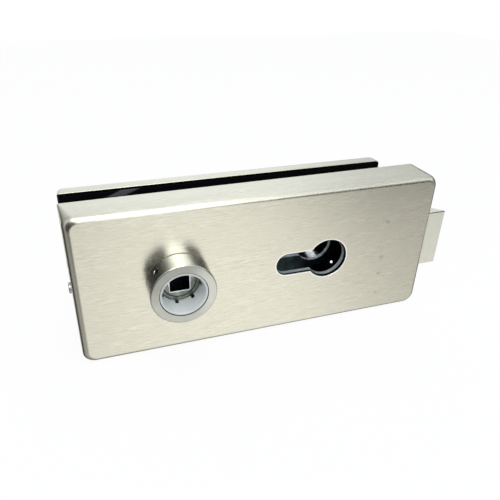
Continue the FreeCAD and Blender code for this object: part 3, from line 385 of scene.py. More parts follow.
collarSteel = turnedMetal("collarSteel", {
    "colour": (0.80, 0.80, 0.75), "faceColour": (0.60, 0.605, 0.54), "streak": 0.14, "cloud": 0.22,
    "uneven": 0.08, "roughness": 0.07, "faceRoughness": 0.34, "depth": 0.03, "shade": 0.26, "paintedLight": 0.22,
    "shadeRing": (9.8, 10.42),
})
bearingMetal = turnedMetal("bearingMetal", {
    "colour": (0.36, 0.38, 0.33), "faceColour": (0.36, 0.385, 0.33), "streak": 0.6, "cloud": 0.8,
    "uneven": 0.1, "roughness": 0.30, "faceRoughness": 0.30, "depth": 0.12, "shadeRing": (7.0, 7.55),
})
hubMetal = turnedMetal("hubMetal", {
    "colour": (0.30, 0.33, 0.29), "faceColour": (0.33, 0.365, 0.31), "streak": 0.6, "cloud": 2.0,
    "uneven": 0.1, "roughness": 0.30, "faceRoughness": 0.24, "depth": 0.12,
})
bushPlastic = mouldedFinish("bushPlastic", {
    "colour": (0.90, 0.97, 0.94), "faceColour": (0.60, 0.64, 0.63), "grain": 3500, "patch": 160,
    "roughness": 0.40, "depth": 0.08,
})
# gaskets: black sheet, with a painted reflection streak on the rear one
gasketSheet = mouldedFinish("gasketSheet", {
    "colour": (0.003, 0.003, 0.004), "grain": 1800, "patch": 120, "roughness": 0.38, "depth": 0.10,
    "gloss": 0.04, "reflectionStreak": (-101.6, -100.0, -94.5, -91.8), "reflectionSlope": 2.4, "reflectionRise": (29.5, 32.5),
    "reflectionColour": (0.13, 0.13, 0.14),
})
guidePlastic = mouldedFinish("guidePlastic", {
    "colour": (0.05, 0.05, 0.055), "grain": 2500, "patch": 200, "roughness": 0.45, "depth": 0.10,
})
print("finishes made")


# outlines seen from the front, each a function of an offset and a depth, in millimetres


def roundedOutline(x0, x1, half, cornerAt, steps=14, support=0.3):
    def outline(inset, depth):
        points = []
        left, right, draft = cornerAt(depth) if callable(cornerAt) else (cornerAt, cornerAt, 0.0)
        end = x0 + draft
        centres = ((x1 - right, half - right, 0, right), (end + left, half - left, 90, left),
                   (end + left, left - half, 180, left), (x1 - right, right - half, 270, right))
        for cx, cz, start, corner in centres:
            radius = corner - inset
            for n in range(-1, steps + 2):
                turn = math.radians(start + 90 * min(max(n, 0), steps) / steps)
                x, z = cx + radius * math.cos(turn), cz + radius * math.sin(turn)
                along = -support if n < 0 else support if n > steps else 0.0  # keeps the flats flat
                points.append((x - along * math.sin(turn), z + along * math.cos(turn)))
        return points
    return outline


def roundOutline(cx, cz, radius, steps=96):
    def outline(outset, depth):
        size = radius + outset
        turns = [2 * math.pi * n / steps for n in range(steps)]
        return [(cx + size * math.cos(turn), cz + size * math.sin(turn)) for turn in turns]
    return outline


def keyholeOutline(cx, radius, half, slotCentre, steps=72, ends=28, support=0.3):
    def outline(outset, depth):
        size, wide = radius + outset, half + outset
        meet = math.asin(wide / size)
        points = []
        for n in range(steps + 1):
            turn = -math.pi + meet + (2 * math.pi - 2 * meet) * n / steps
            points.append((cx + size * math.cos(turn), size * math.sin(turn)))
        points.append((slotCentre + support, wide))
        for n in range(ends + 1):
            turn = math.pi / 2 + math.pi * n / ends
            points.append((slotCentre + wide * math.cos(turn), wide * math.sin(turn)))
        points.append((slotCentre + support, -wide))
        return points
    return outline


def arcProfile(centre, radius, start, end, steps=6):
    turns = [math.radians(start + (end - start) * n / steps) for n in range(steps + 1)]
    return [(centre[0] + radius * math.cos(turn), centre[1] + radius * math.sin(turn)) for turn in turns]


def softProfile(corners, radii, steps=5, support=0.12):  # a closed section with its corners rounded
    points = []
    count = len(corners)
    for n in range(count):
        before, here, after = (Vector(corners[(n + k) % count]) for k in (-1, 0, 1))
        radius = radii[n]
        if radius <= 0:
            points.append(tuple(here))
            continue
        inward, outward = (before - here).normalized(), (after - here).normalized()
        half = inward.angle(outward) / 2
        reach = radius / math.tan(half)
        middle = here + (inward + outward).normalized() * (radius / math.sin(half))
        first, last = here + inward * reach, here + outward * reach
        points.append(tuple(first + inward * support))
        start, end = first - middle, last - middle
        sweep = math.atan2(start.x * end.y - start.y * end.x, start.dot(end))
        for k in range(steps + 1):
            turn = sweep * k / steps
            points.append((middle.x + start.x * math.cos(turn) - start.y * math.sin(turn),
                           middle.y + start.x * math.sin(turn) + start.y * math.cos(turn)))
        points.append(tuple(last + outward * support))
    return points


# mesh helpers


def finishMesh(name, bm, material, sharp=38):
    bmesh.ops.recalc_face_normals(bm, faces=bm.faces)
    mesh = bpy.data.meshes.new(name)
    bm.to_mesh(mesh)
    bm.free()
    mesh.transform(Matrix.Scale(millimetre, 4))
    for finish in material if isinstance(material, (list, tuple)) else [material]:
        if finish:
            mesh.materials.append(finish)
    mesh.shade_smooth()
    mesh.set_sharp_from_angle(angle=math.radians(sharp))
    piece = bpy.data.objects.new(name, mesh)
    bpy.context.scene.collection.objects.link(piece)
    return piece


def addRing(bm, points, depth):
    return [bm.verts.new((x, depth, z)) for x, z in points]


def joinRings(bm, first, second, finish=0):
    count = len(first)
    for n in range(count):
        after = (n + 1) % count
        bm.faces.new((first[n], first[after], second[after], second[n])).material_index = finish


def fillBetween(bm, rings, finish=0):
    edges = []
    for ring in rings:
        for n in range(len(ring)):
            edges.append(bm.edges.get((ring[n], ring[(n + 1) % len(ring)])))
    filled = bmesh.ops.triangle_fill(bm, use_beauty=True, use_dissolve=False, edges=edges)["geom"]
    for face in filled:
        if isinstance(face, bmesh.types.BMFace):
            face.material_index = finish


# each wall is an outline, its profile of (offset, depth) and, if it has them, the finish of each strip
def platePiece(name, walls, material, backFinish=0):
    bm = bmesh.new()
    firsts, lasts = [], []
    for outline, profile, *finishes in walls:
        rings = [addRing(bm, outline(offset, depth), depth) for offset, depth in profile]
        for n, (near, far) in enumerate(zip(rings, rings[1:])):
            joinRings(bm, near, far, finishes[0][n] if finishes else 0)
        firsts.append(rings[0])
        lasts.append(rings[-1])
    fillBetween(bm, firsts)
    fillBetween(bm, lasts, backFinish)
    return finishMesh(name, bm, material)


def edgeProfile(y0, y1, edge, support=0.12):  # rounded rims at both faces of a plate
    near = [(edge + support, y0)] + arcProfile((edge, y0 + edge), edge, -90, -180, 4)
    return near + arcProfile((edge, y1 - edge), edge, 180, 90, 4) + [(edge + support, y1)]


def turnInto(bm, profile, steps, across, along, up, centre):  # a closed section turned round an axis
    rings = []
    for radius, level in profile:
        ring = []
        for n in range(steps):
            turn = 2 * math.pi * n / steps
            out = across * math.cos(turn) + up * math.sin(turn)
            ring.append(bm.verts.new(centre + along * level + out * radius))
        rings.append(ring)
    return rings


def addTurned(bm, profile, centre=(0, 0, 0), axis="y", steps=96, solid=False):
    ways = {"x": ((0, 1, 0), (1, 0, 0), (0, 0, 1)), "y": ((1, 0, 0), (0, 1, 0), (0, 0, 1))}
    across, along, up = (Vector(way) for way in ways[axis])
    rings = turnInto(bm, profile, steps, across, along, up, Vector(centre))
    pairs = list(zip(rings, rings[1:]))
    if not solid:
        pairs.append((rings[-1], rings[0]))
    for near, far in pairs:
        joinRings(bm, near, far)
    if solid:
        bm.faces.new(rings[0])
        bm.faces.new(rings[-1])


def addBlock(bm, x0, x1, y0, y1, z0, z1, matrix=None):
    corners = [(x, y, z) for x in (x0, x1) for y in (y0, y1) for z in (z0, z1)]
    verts = [bm.verts.new(corner) for corner in corners]
    for face in ((0, 1, 3, 2), (4, 6, 7, 5), (0, 4, 5, 1), (2, 3, 7, 6), (0, 2, 6, 4), (1, 5, 7, 3)):
        bm.faces.new([verts[n] for n in face])
    if matrix is not None:
        bmesh.ops.transform(bm, matrix=matrix, verts=verts)


def addHexagon(bm, across, low, high, centre, axis):
    size = across / math.sqrt(3)
    addTurned(bm, [(size, low), (size, high)], centre, axis, 6, True)


def carve(piece, cutterMesh, sharp=38):
    cutter = finishMesh("cutter", cutterMesh, None)
    step = piece.modifiers.new("carve", "BOOLEAN")
    step.object = cutter
    step.solver = "EXACT"
    seen = piece.evaluated_get(bpy.context.evaluated_depsgraph_get())
    shape = bpy.data.meshes.new_from_object(seen)
    piece.modifiers.clear()
    old = piece.data
    piece.data = shape
    shape.name = piece.name
    shape.shade_smooth()
    shape.set_sharp_from_angle(angle=math.radians(sharp))
    bpy.data.meshes.remove(old)
    bpy.data.objects.remove(cutter)


def place(piece, body, slotName, *nodes):
    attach(piece, body)
    if nodes:
        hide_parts(*nodes)
    return piece


print("helpers ready")


# where the screws sit: the holes in the covers and gaskets and the screws themselves share these

screwPlaces = {"frontDepth": -12.9, "rearDepth": 8.0, "rise": 24, "hole": 1.45, "leftWall": (-47, -41),
               "frontRightWall": (120, 126), "rearRightWall": (103, 110), "sunkLeft": -44.35,
               "clamps": [(x, z) for x in (-17, 74) for z in (13.5, -13.5)]}


def addSideHole(bm, wall, y, z=0):
    addTurned(bm, [(screwPlaces["hole"], x) for x in wall], (0, y, z), "x", 32, True)


# covers: pressed sheet with rounded front edges, the sheet's raw edge at the glass

coverShape = {"left": -44.8, "frontRight": 124.0, "rearRight": 107.3, "half": 35.5, "wall": 1.2, "edge": 2.5,
              "bend": 3.2, "crease": 13, "rawEdge": 0.22, "holds": (0.4, 0.3, 0.15), "collarHole": 11.56,
              "mouth": (120, 125, -18.3, -7.15, -14.6, 14.6)}
frontCorners = {"face": 6.0, "left": 0.8, "right": 5.6, "draft": 1.2}  # left and right are those at the glass
rearCorners = {"face": 3.5, "left": 1.0, "right": 1.8, "draft": 0.0}
runBack = {"behind": -5.2, "above": 18, "rise": 15, "before": -12, "length": 32.8, "most": 2.0}
keyhole = {"centre": 70.0, "radius": 9.7, "half": 5.5, "slotCentre": 50.15, "edge": 0.16, "brightRing": 0.58}


def coverPiece(name, x1, face, glass, corners):
    look = coverShape
    inward = 1 if glass > face else -1  # the way from the outer face to the glass
    edge, wall, raw, bend = (look[part] for part in ("edge", "wall", "rawEdge", "bend"))
    faceHold, bendHold, rawHold = look["holds"]  # rings this far from a rounding keep the flats flat
    depth = abs(glass - face)

    def cornerAt(level):  # the two corner radii and the lean of the left side at a depth
        left = 1 - abs(level - face) / depth
        share = 1 - left ** 2
        radii = [corners["face"] + (corners[side] - corners["face"]) * share for side in ("left", "right")]
        return (*radii, corners["draft"] * left)

    crease = math.cos(math.radians(look["crease"]))  # the rounding meets the face at a slight crease
    outside = [(edge + faceHold, 0.0)]
    outside += arcProfile((bend, bend * crease), bend, -90 - look["crease"], -180, 14)
    outside += [(0.0, bend + bendHold), (0.0, depth - raw - rawHold)]
    outside += arcProfile((raw, depth - raw), raw, 180, 90, 5)
    cutEdge = arcProfile((wall - raw, depth - raw), raw, 90, 0, 5) + [(wall, depth - raw - rawHold)]
    inside = [(wall, edge + bendHold)] + arcProfile((edge, edge), edge - wall, 180, 270, 8)
    inside += [(edge + faceHold, wall)]
    sheet = [0] * (len(outside) - 1) + [2] * len(cutEdge) + [3] * len(inside)
    soft = keyhole["edge"]
    highlightRim = [(keyhole["brightRing"], 0.0), (soft + 0.06, 0.0)]
    highlightRim += arcProfile((soft, soft), soft, -90, -180, 4)
    hole = [(0.0, soft + 0.05), (0.0, wall)]
    rim = highlightRim + hole
    ring = [1] * (len(highlightRim) - 1) + [2] * len(hole)
    walls = [(roundedOutline(look["left"], x1, look["half"], cornerAt), outside + cutEdge + inside, sheet),
             (roundOutline(0, 0, look["collarHole"], 128), rim),
             (keyholeOutline(keyhole["centre"], keyhole["radius"], keyhole["half"], keyhole["slotCentre"]),
              rim, ring)]
    walls = [(outline, [(offset, face + inward * level) for offset, level in profile], *rest)
             for outline, profile, *rest in walls]
    return platePiece(name, walls, [coverSteel, rimSteel, shadedCutSteel, insideSteel], 3)


frontCover = coverPiece("frontCover", coverShape["frontRight"], -21.5, -4.0, frontCorners)
for vert in frontCover.data.vertices:  # the glass edge runs back a little at its upper left end
    x, y, z = (part / millimetre for part in vert.co)
    if y > runBack["behind"] and z > runBack["above"] and x < runBack["before"]:
        along = (runBack["before"] - x) / runBack["length"]
        up = min((z - runBack["above"]) / runBack["rise"], 1)
        vert.co.y -= runBack["most"] * along ** 2 * up * millimetre
cutter = bmesh.new()
addBlock(cutter, *coverShape["mouth"])
addSideHole(cutter, screwPlaces["leftWall"], screwPlaces["frontDepth"])
for z in (screwPlaces["rise"], -screwPlaces["rise"]):
    addSideHole(cutter, screwPlaces["frontRightWall"], screwPlaces["frontDepth"], z)
carve(frontCover, cutter)
place(frontCover, "case", "cover_steel", "front_cover")

rearCover = coverPiece("rearCover", coverShape["rearRight"], 12.0, 4.0, rearCorners)
cutter = bmesh.new()
addSideHole(cutter, screwPlaces["leftWall"], screwPlaces["rearDepth"])
addSideHole(cutter, screwPlaces["rearRightWall"], screwPlaces["rearDepth"])
carve(rearCover, cutter)
place(rearCover, "case", "cover_steel", "rear_cover")
print("covers made")


# gaskets between the plates and the glass

gasketShape = {"left": -43.45, "half": 34.15, "edge": 0.18, "corner": 1.6, "holeEdge": 0.1,
               "collarHole": 12.75, "keyRadius": 10.45, "keyHalf": 6.7, "clampHole": 4.55}


def gasketPiece(name, x1, y0, y1, node):
    look = gasketShape
    side, hole = (edgeProfile(y0, y1, look[part]) for part in ("edge", "holeEdge"))
    key = keyholeOutline(keyhole["centre"], look["keyRadius"], look["keyHalf"], keyhole["slotCentre"])
    walls = [(roundedOutline(look["left"], x1, look["half"], look["corner"]), side),
             (roundOutline(0, 0, look["collarHole"]), hole), (key, hole)]
    gasket = platePiece(name, walls, gasketSheet)
    cutter = bmesh.new()
    through = [(look["clampHole"], y0 - 1), (look["clampHole"], y1 + 1)]
    for x, z in screwPlaces["clamps"]:
        addTurned(cutter, through, (x, 0, z), "y", 48, True)
    carve(gasket, cutter)
    return place(gasket, "case", "gasket", node)


gasketPiece("frontGasket", 122.65, -5.0, -4.0, "front_gasket")
gasketPiece("rearGasket", 105.95, 4.0, 5.0, "rear_gasket")
print("gaskets made")


# lever collars with the neck that goes through the cover

collarShape = {"radius": 14.1, "bore": 10.2, "spigot": 11.5, "edge": 0.55, "boreEdge": 0.25, "grubTurn": 136,
               "undercut": 0.42, "groove": (-18.3, -17.3), "grooveRadius": 10.9,
               "grubHole": [(1.5, 9.0), (1.5, 13.9), (1.8, 14.3)], "grubEnds": (11.4, 14.0),
               "grubRadius": 1.5, "grubSocket": [(0.87, 12.7), (0.87, 14.5)]}


def grubPlace(level):
    turn = math.radians(collarShape["grubTurn"])
    out, across = Vector((math.cos(turn), 0, math.sin(turn))), Vector((-math.sin(turn), 0, math.cos(turn)))
    frameAxes = Matrix((across, out, Vector((0, 1, 0)))).transposed().to_4x4()
    return Matrix.Translation((0, level, 0)) @ frameAxes


def addAlongGrub(bm, profile, level, steps, solid):
    before = set(bm.verts)
    addTurned(bm, profile, (0, 0, 0), "y", steps, solid)
    fresh = [vert for vert in bm.verts if vert not in before]
    bmesh.ops.transform(bm, matrix=grubPlace(level), verts=fresh)


def collarPiece(name, outer, face, seat, grubLevel, node, groove=False):
    look = collarShape
    inner = look["radius"] - look["undercut"]
    relief = face + (look["undercut"] if outer > face else -look["undercut"])
    corners = [(look["bore"], outer), (look["radius"], outer), (look["radius"], relief), (inner, relief),
               (inner, face), (look["spigot"], face)]
    radii = [look["boreEdge"], look["edge"], 0.06, 0, 0, 0]
    if groove:
        (first, last), low = look["groove"], look["grooveRadius"]
        corners += [(look["spigot"], first), (low, first), (low, last), (look["spigot"], last)]
        radii += [0, 0, 0, 0]
    corners += [(look["spigot"], seat), (look["bore"], seat)]
    radii += [0.15, 0]
    bm = bmesh.new()
    addTurned(bm, softProfile(corners, radii), steps=192)
    collar = finishMesh(name, bm, collarSteel)
    cutter = bmesh.new()
    addAlongGrub(cutter, look["grubHole"], grubLevel, 40, True)
    carve(collar, cutter)
    return place(collar, "case", "collar_steel", node)


def grubPiece(name, level, node):
    bm = bmesh.new()
    (foot, top), radius = collarShape["grubEnds"], collarShape["grubRadius"]
    section = softProfile([(axisGap, foot), (radius, foot), (radius, top), (axisGap, top)], [0, 0.3, 0.15, 0])
    addAlongGrub(bm, section, level, 40, False)
    screw = finishMesh(name, bm, grubSteel)
    cutter = bmesh.new()
    addAlongGrub(cutter, collarShape["grubSocket"], level, 6, True)
    carve(screw, cutter)
    return place(screw, "case", "screw_steel", node)


collarPiece("frontCollar", -31.7, -21.5, -16.4, -26.1, "lever_collar_front", True)
collarPiece("rearCollar", 22.2, 12.0, 5.0, 16.6, "lever_collar_rear")
grubPiece("frontGrubScrew", -26.1, "collar_screw_front")
grubPiece("rearGrubScrew", 16.6, "collar_screw_rear")
print("collars made")


# plastic bushes with eight notches at the inner end

bushShape = {"outer": 10.15, "bore": 9.3, "edge": 0.22, "lip": 0.2, "lipLength": 0.5, "notches": 8,
             "notchWidth": 1.7, "notchDepth": 2.2, "notchTurn": 10.5}


def bushPiece(name, y0, y1, innerEnd, node):
    look = bushShape
    bm = bmesh.new()
    bore, lip = look["bore"], look["bore"] - look["lip"]
    step = look["lipLength"] if innerEnd == y0 else -look["lipLength"]
    inner = [(bore, innerEnd + step), (lip, innerEnd + step), (lip, innerEnd)]
    corners = [(look["outer"], y0), (look["outer"], y1)]
    corners += [(bore, y1)] + inner if innerEnd == y0 else inner[::-1] + [(bore, y0)]
    edge = look["edge"]
    radii = [edge, edge, edge, 0, 0, 0.04] if innerEnd == y0 else [edge, edge, 0.04, 0, 0, edge]
    addTurned(bm, softProfile(corners, radii, 5, 0.05), steps=160)
    bush = finishMesh(name, bm, bushPlastic)
    cutter = bmesh.new()
    low, high = sorted((innerEnd, innerEnd + (look["notchDepth"] if innerEnd == y0 else -look["notchDepth"])))
    low, high = (low - 1, high) if innerEnd == y0 else (low, high + 1)
    for n in range(look["notches"]):
        turn = Matrix.Rotation(math.radians(360 * n / look["notches"] + look["notchTurn"]), 4, "Y")
        half = look["notchWidth"] / 2
        addBlock(cutter, 8.0, look["outer"] + 0.3, low, high, -half, half, turn)
    carve(bush, cutter)
    return place(bush, "case", "bush_plastic", node)


bushPiece("frontBush", -31.6, -21.7, -21.7, "lever_bush_front")
bushPiece("rearBush", 12.2, 22.1, 12.2, "lever_bush_rear")
print("bushes made")


# follower bearings, the front one with a groove between two lands

bearingShape = {"bore": 7.21, "outer": 10.15, "grooveIn": 8.75, "grooveOut": 9.0, "grooveDepth": 0.3}


def bearingPiece(name, outer, y0, y1, node, groove):
    look = bearingShape
    corners = [(look["bore"], y0)]
    radii = [0.15]
    if groove:
        corners += [(look["grooveIn"], y0), (look["grooveIn"] + 0.05, y0 + look["grooveDepth"]),
                    (look["grooveOut"] - 0.02, y0 + look["grooveDepth"]), (look["grooveOut"], y0)]
        radii += [0.06, 0, 0, 0.06]
    corners += [(outer, y0), (outer, y1), (look["bore"], y1)]
    radii += [0.12, 0.1, 0.1]
    bm = bmesh.new()
    addTurned(bm, softProfile(corners, radii, 4, 0.05), steps=144)
    return place(finishMesh(name, bm, bearingMetal), "case", "bearing_metal", node)


bearingPiece("frontBearing", 10.15, -21.5, -17.7, "hub_bearing_front", True)
bearingPiece("backBearing", 9.8, -7.0, -5.0, "hub_bearing_back", False)


# square sleeve in the follower, its rim a little proud

sleeveShape = {"half": 4.85, "wall": 0.5, "corner": 0.7, "rim": 0.09, "front": -21.7, "back": -4.3}


def sleevePiece(name, node):
    look = sleeveShape
    half, wall, rim = look["half"], look["wall"], look["rim"]
    y0, y1 = look["front"], look["back"]
    profile = [(0.0, y1), (0.0, y0 + rim + 0.1)] + arcProfile((rim, y0 + rim), rim, 180, 270, 4)
    profile += arcProfile((wall - rim, y0 + rim), rim, -90, 0, 4) + [(wall, y0 + rim + 0.1), (wall, y1)]
    outline = roundedOutline(-half, half, half, look["corner"], 6, 0.1)
    bm = bmesh.new()
    rings = [addRing(bm, outline(offset, depth), depth) for offset, depth in profile]
    for near, far in zip(rings, rings[1:] + rings[:1]):
        joinRings(bm, near, far)
    return place(finishMesh(name, bm, sleeveSteel), "follower", "bright_steel", node)


sleevePiece("squareSleeve", "square_sleeve")
print("bearings and sleeve made")


# latch bolt, a plated block with eased edges and a bevelled nose

latchShape = {"root": 104.0, "tip": 134.3, "front": -18.2, "back": -7.25, "nose": 0.9, "bevelStart": 124.25,
              "half": 14.5, "ease": 0.38, "slot": (103, 113, -14.1, -11.9, -11.25, 11.25), "pinX": 108.5,
              "pinRise": 7, "pinRadius": 1.5}


def latchPiece(name, node):
    look = latchShape
    outline = [(look["root"], look["front"]), (look["tip"], look["front"]),
               (look["tip"], look["front"] + look["nose"]), (look["bevelStart"], look["back"]),
               (look["root"], look["back"])]
    bm = bmesh.new()
    low = [bm.verts.new((x, y, -look["half"])) for x, y in outline]
    high = [bm.verts.new((x, y, look["half"])) for x, y in outline]
    joinRings(bm, low, high)
    bm.faces.new(low)
    bm.faces.new(high)
    bmesh.ops.bevel(bm, geom=list(bm.edges), offset=look["ease"], segments=4, profile=0.5, affect="EDGES")
    bolt = finishMesh(name, bm, latchNickel, 30)
    cutter = bmesh.new()
    addBlock(cutter, *look["slot"])
    radius = look["pinRadius"]
    for z in (look["pinRise"], -look["pinRise"]):
        addTurned(cutter, [(radius, -19), (radius, -6)], (look["pinX"], 0, z), "y", 32, True)
    carve(bolt, cutter, 30)
    level = bolt.modifiers.new("flats", "WEIGHTED_NORMAL")
    level.keep_sharp = True
    level.weight = 100
    return place(bolt, "latch", "latch_nickel", node)


latchPiece("latchBolt", "latch_bolt")


def pinPieces():  # cross pins through bolt and slide
    look = latchShape
    front, back, radius = look["front"], look["back"], look["pinRadius"]
    corners = [(axisGap, front), (radius, front), (radius, back), (axisGap, back)]
    bm = bmesh.new()
    for z in (look["pinRise"], -look["pinRise"]):
        addTurned(bm, softProfile(corners, [0, 0.2, 0.2, 0]), (look["pinX"], 0, z), "y", 40)
    pins = finishMesh("latchCrossPins", bm, mechanismSteel)
    return place(pins, "latch", "mechanism_steel", "latch_cross_pins")


pinPieces()
print("latch made")


# screws and clamping sleeves

screwShape = {"head": 2.4, "shaft": 1.4, "proud": 0.8, "frontLength": 6.9, "rearLength": 5.9,
              "coverSocket": (1.6, 0.2, 1.5), "caseSocket": (1.7, -0.8, 1.0), "clampSocket": (3.2, -1.8, 1.0),
              "caseX": (-35.95, 34.0, 114.85), "caseRise": 27.475, "caseDepth": -5.0, "clampDepth": 10.75}
rivetShape = {"x": 81.3, "rise": 12.6, "foot": -7.0, "centre": -6.05, "radius": 1.57, "arc": (-37, -89.3)}


# spots: where each screw sits and which way its head looks; socket: width, floor and top
def screwPiece(name, slotName, node, section, spots, axis, socket=None, material=None):
    bm = bmesh.new()
    cutter = bmesh.new()
    for centre, way in spots:
        addTurned(bm, [(radius, level * way) for radius, level in section], centre, axis, 48)
        if socket:
            across, low, high = socket
            addHexagon(cutter, across, *sorted((low * way, high * way)), centre, axis)
    piece = finishMesh(name, bm, material or screwSteel)
    if socket:
        carve(piece, cutter)
    else:
        cutter.free()
    return place(piece, "case", slotName, node)


def coverScrew(length):  # a flat round head on the cover's side, the shaft going in
    head, shaft, proud = screwShape["head"], screwShape["shaft"], screwShape["proud"]
    return softProfile([(axisGap, proud), (head, proud), (head, 0.0), (shaft, 0.0), (shaft, -length),
                        (axisGap, -length)], [0, 0.35, 0, 0, 0.2, 0])


frontDepth, rearDepth, rise = (screwPlaces[part] for part in ("frontDepth", "rearDepth", "rise"))
right = coverShape["frontRight"]
screwPiece("frontCoverScrews", "screw_steel", "front_cover_screws", coverScrew(screwShape["frontLength"]),
           [((screwPlaces["sunkLeft"], frontDepth, 0), -1), ((right, frontDepth, rise), 1),
            ((right, frontDepth, -rise), 1)], "x", screwShape["coverSocket"])
screwPiece("rearCoverScrews", "screw_steel", "rear_cover_screws", coverScrew(screwShape["rearLength"]),
           [((coverShape["left"], rearDepth, 0), -1), ((coverShape["rearRight"], rearDepth, 0), 1)], "x",
           screwShape["coverSocket"])
caseScrew = softProfile([(axisGap, 0.0), (2.8, 0.0), (1.5, -1.2), (1.5, -7.9), (axisGap, -7.9)],
                        [0, 0.08, 0, 0.2, 0])
caseSpots = [((x, screwShape["caseDepth"], z), 1) for x in screwShape["caseX"]
             for z in (screwShape["caseRise"], -screwShape["caseRise"])]
screwPiece("caseScrews", "screw_steel", "case_screws", caseScrew, caseSpots, "y", screwShape["caseSocket"])
clampScrew = softProfile([(axisGap, 0.0), (4.6, 0.0), (2.5, -2.3), (2.5, -12.9), (axisGap, -12.9)],
                         [0, 0.12, 0, 0.4, 0])
clampSpots = [((x, screwShape["clampDepth"], z), 1) for x, z in screwPlaces["clamps"]]
screwPiece("clampScrews", "screw_steel", "clamp_screws", clampScrew, clampSpots, "y",
           screwShape["clampSocket"])
clampSleeve = softProfile([(2.5, 5.0), (4.5, 5.0), (4.5, -5.0), (2.8, -5.0), (2.8, -7.0), (3.2, -7.0),
                           (3.0, -8.2), (axisGap, -8.2), (axisGap, -2.5), (2.5, -2.5)],
                          [0.15, 0.3, 0.1, 0, 0, 0.2, 0.5, 0, 0, 0])
sleeveSpots = [((x, 0, z), 1) for x, z in screwPlaces["clamps"]]
screwPiece("clampSleeves", "bright_steel", "clamp_sleeves", clampSleeve, sleeveSpots, "y", None, clampSteel)

rivet = [(axisGap, rivetShape["foot"])]
rivet += arcProfile((0.0, rivetShape["centre"]), rivetShape["radius"], *rivetShape["arc"], 12)
rivets = bmesh.new()
for z in (rivetShape["rise"], -rivetShape["rise"]):
    addTurned(rivets, rivet, (rivetShape["x"], 0, z), "y", 40)
place(finishMesh("plateRivets", rivets, rivetSteel), "case", "bright_steel")
print("screws made")


# the spring that throws the latch

springShape = {"wire": 0.9, "radius": 3.62, "turns": 13, "x0": 64.5, "x1": 95.5, "y": -13.0, "z": -27.475,
               "sides": 12, "steps": 28, "endPitch": 0.45}


def springPiece(name, node):
    look = springShape
    bm = bmesh.new()
    sides, turns, flat = look["sides"], look["turns"], look["endPitch"]
    count = int(turns * look["steps"])
    closed = 1.0 / turns  # the first and the last turn lie closer than the rest
    wire = look["wire"] / 2
    rings = []

    def eased(share):
        return closed * (flat * share + (1 - flat) * share ** 2)

    for n in range(count + 1):
        share = n / count
        lie = share
        if share < closed:
            lie = eased(share / closed)
        elif share > 1 - closed:
            lie = 1 - eased((1 - share) / closed)
        turn = 2 * math.pi * turns * share
        out = Vector((0, math.cos(turn), math.sin(turn)))
        x = look["x0"] + (look["x1"] - look["x0"]) * lie
        middle = Vector((x, look["y"], look["z"])) + out * look["radius"]
        ring = []
        for k in range(sides):
            angle = 2 * math.pi * k / sides
            way = out * math.cos(angle) + Vector((math.sin(angle), 0, 0))
            ring.append(bm.verts.new(middle + way * wire))
        rings.append(ring)
    for near, far in zip(rings, rings[1:]):
        joinRings(bm, near, far)
    bm.faces.new(rings[0])
    bm.faces.new(rings[-1])
    spring = finishMesh(name, bm, springSteel, 60)
    place(spring, "case", "spring_steel", node)
    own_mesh(spring)
    return spring


springPiece("latchSpring", "latch_spring")
print("spring made")


# the CAD nodes that keep their own shape get eased edges and their finish


def dress(node, material, ease):
    piece = cadNodes[node]
    mesh = piece.data
    if not mesh.materials:
        mesh.materials.append(material)
    for slotHere in piece.material_slots:
        slotHere.link = "OBJECT"
        slotHere.material = material
    if ease:
        weld = piece.modifiers.new("weld", "WELD")
        weld.merge_threshold = 0.002 * millimetre
        soften = piece.modifiers.new("ease", "BEVEL")
        soften.width = ease * millimetre
        soften.segments = 2
        soften.limit_method = "ANGLE"
        soften.angle_limit = math.radians(35)
        soften.harden_normals = True
        soften.use_clamp_overlap = True


dressing = (
    ("lock_case", castMetal, 0.15), ("case_back_plate", plateSteel, 0.10), ("rear_plate", plateSteel, 0.10),
    ("collar_retaining_ring", springSteel, 0.08), ("hub_return_spring", springSteel, 0.0),
    ("follower_hub", hubMetal, 0.12), ("hub_stop_pin", mechanismSteel, 0.1),
    ("return_stop_pin", mechanismSteel, 0.1), ("latch_slide", mechanismSteel, 0.12),
    ("changer_lever", mechanismSteel, 0.12), ("slide_studs", brightSteel, 0.1),
    ("slide_link_pin", brightSteel, 0.1), ("spring_guide_rod", brightSteel, 0.15),
    ("changer_pivot_pin", brightSteel, 0.1), ("latch_guides", guidePlastic, 0.12),
    ("cylinder_fixing_screw", screwSteel, 0.12),
)
for node, finish, ease in dressing:
    dress(node, finish, ease)
print("nodes dressed")


# floor, studio world and one weak soft lamp

floorShape = {"x": (-900, 1000), "y": (-700, 1100), "shown": 0.93}  # shown: how white the camera sees it


def makeFloor():
    bm = bmesh.new()
    level = cadBox[0][2] / millimetre
    (left, right), (near, far) = floorShape["x"], floorShape["y"]
    corners = ((left, near), (right, near), (right, far), (left, far))
    bm.faces.new([bm.verts.new((x, y, level)) for x, y in corners])
    material, graph = newFinish("floorWhite")
    camera = graph.add("LightPath")  # Is Camera Ray
    lit = graph.add("BsdfDiffuse", {}, {"Color": (1.0, 1.0, 1.0, 1)})
    plain = graph.add("Emission", {}, {"Color": (1, 1, 1, 1), "Strength": 1.0})
    mixed = graph.add("MixShader", {}, {0: camera * floorShape["shown"], 1: lit, 2: plain})
    graph.add("OutputMaterial", {}, {0: mixed})
    floor = finishMesh("floor", bm, material)
    floor.visible_glossy = False


def heightCurve(height, marks):  # elevation to brightness, as straight runs between the marks
    level = marks[0][1]
    for (low, first), (high, second) in zip(marks, marks[1:]):
        share = ((height - low) * (1.0 / (high - low))).most(0.0).least(1.0)
        level = share * (second - first) + level
    return level


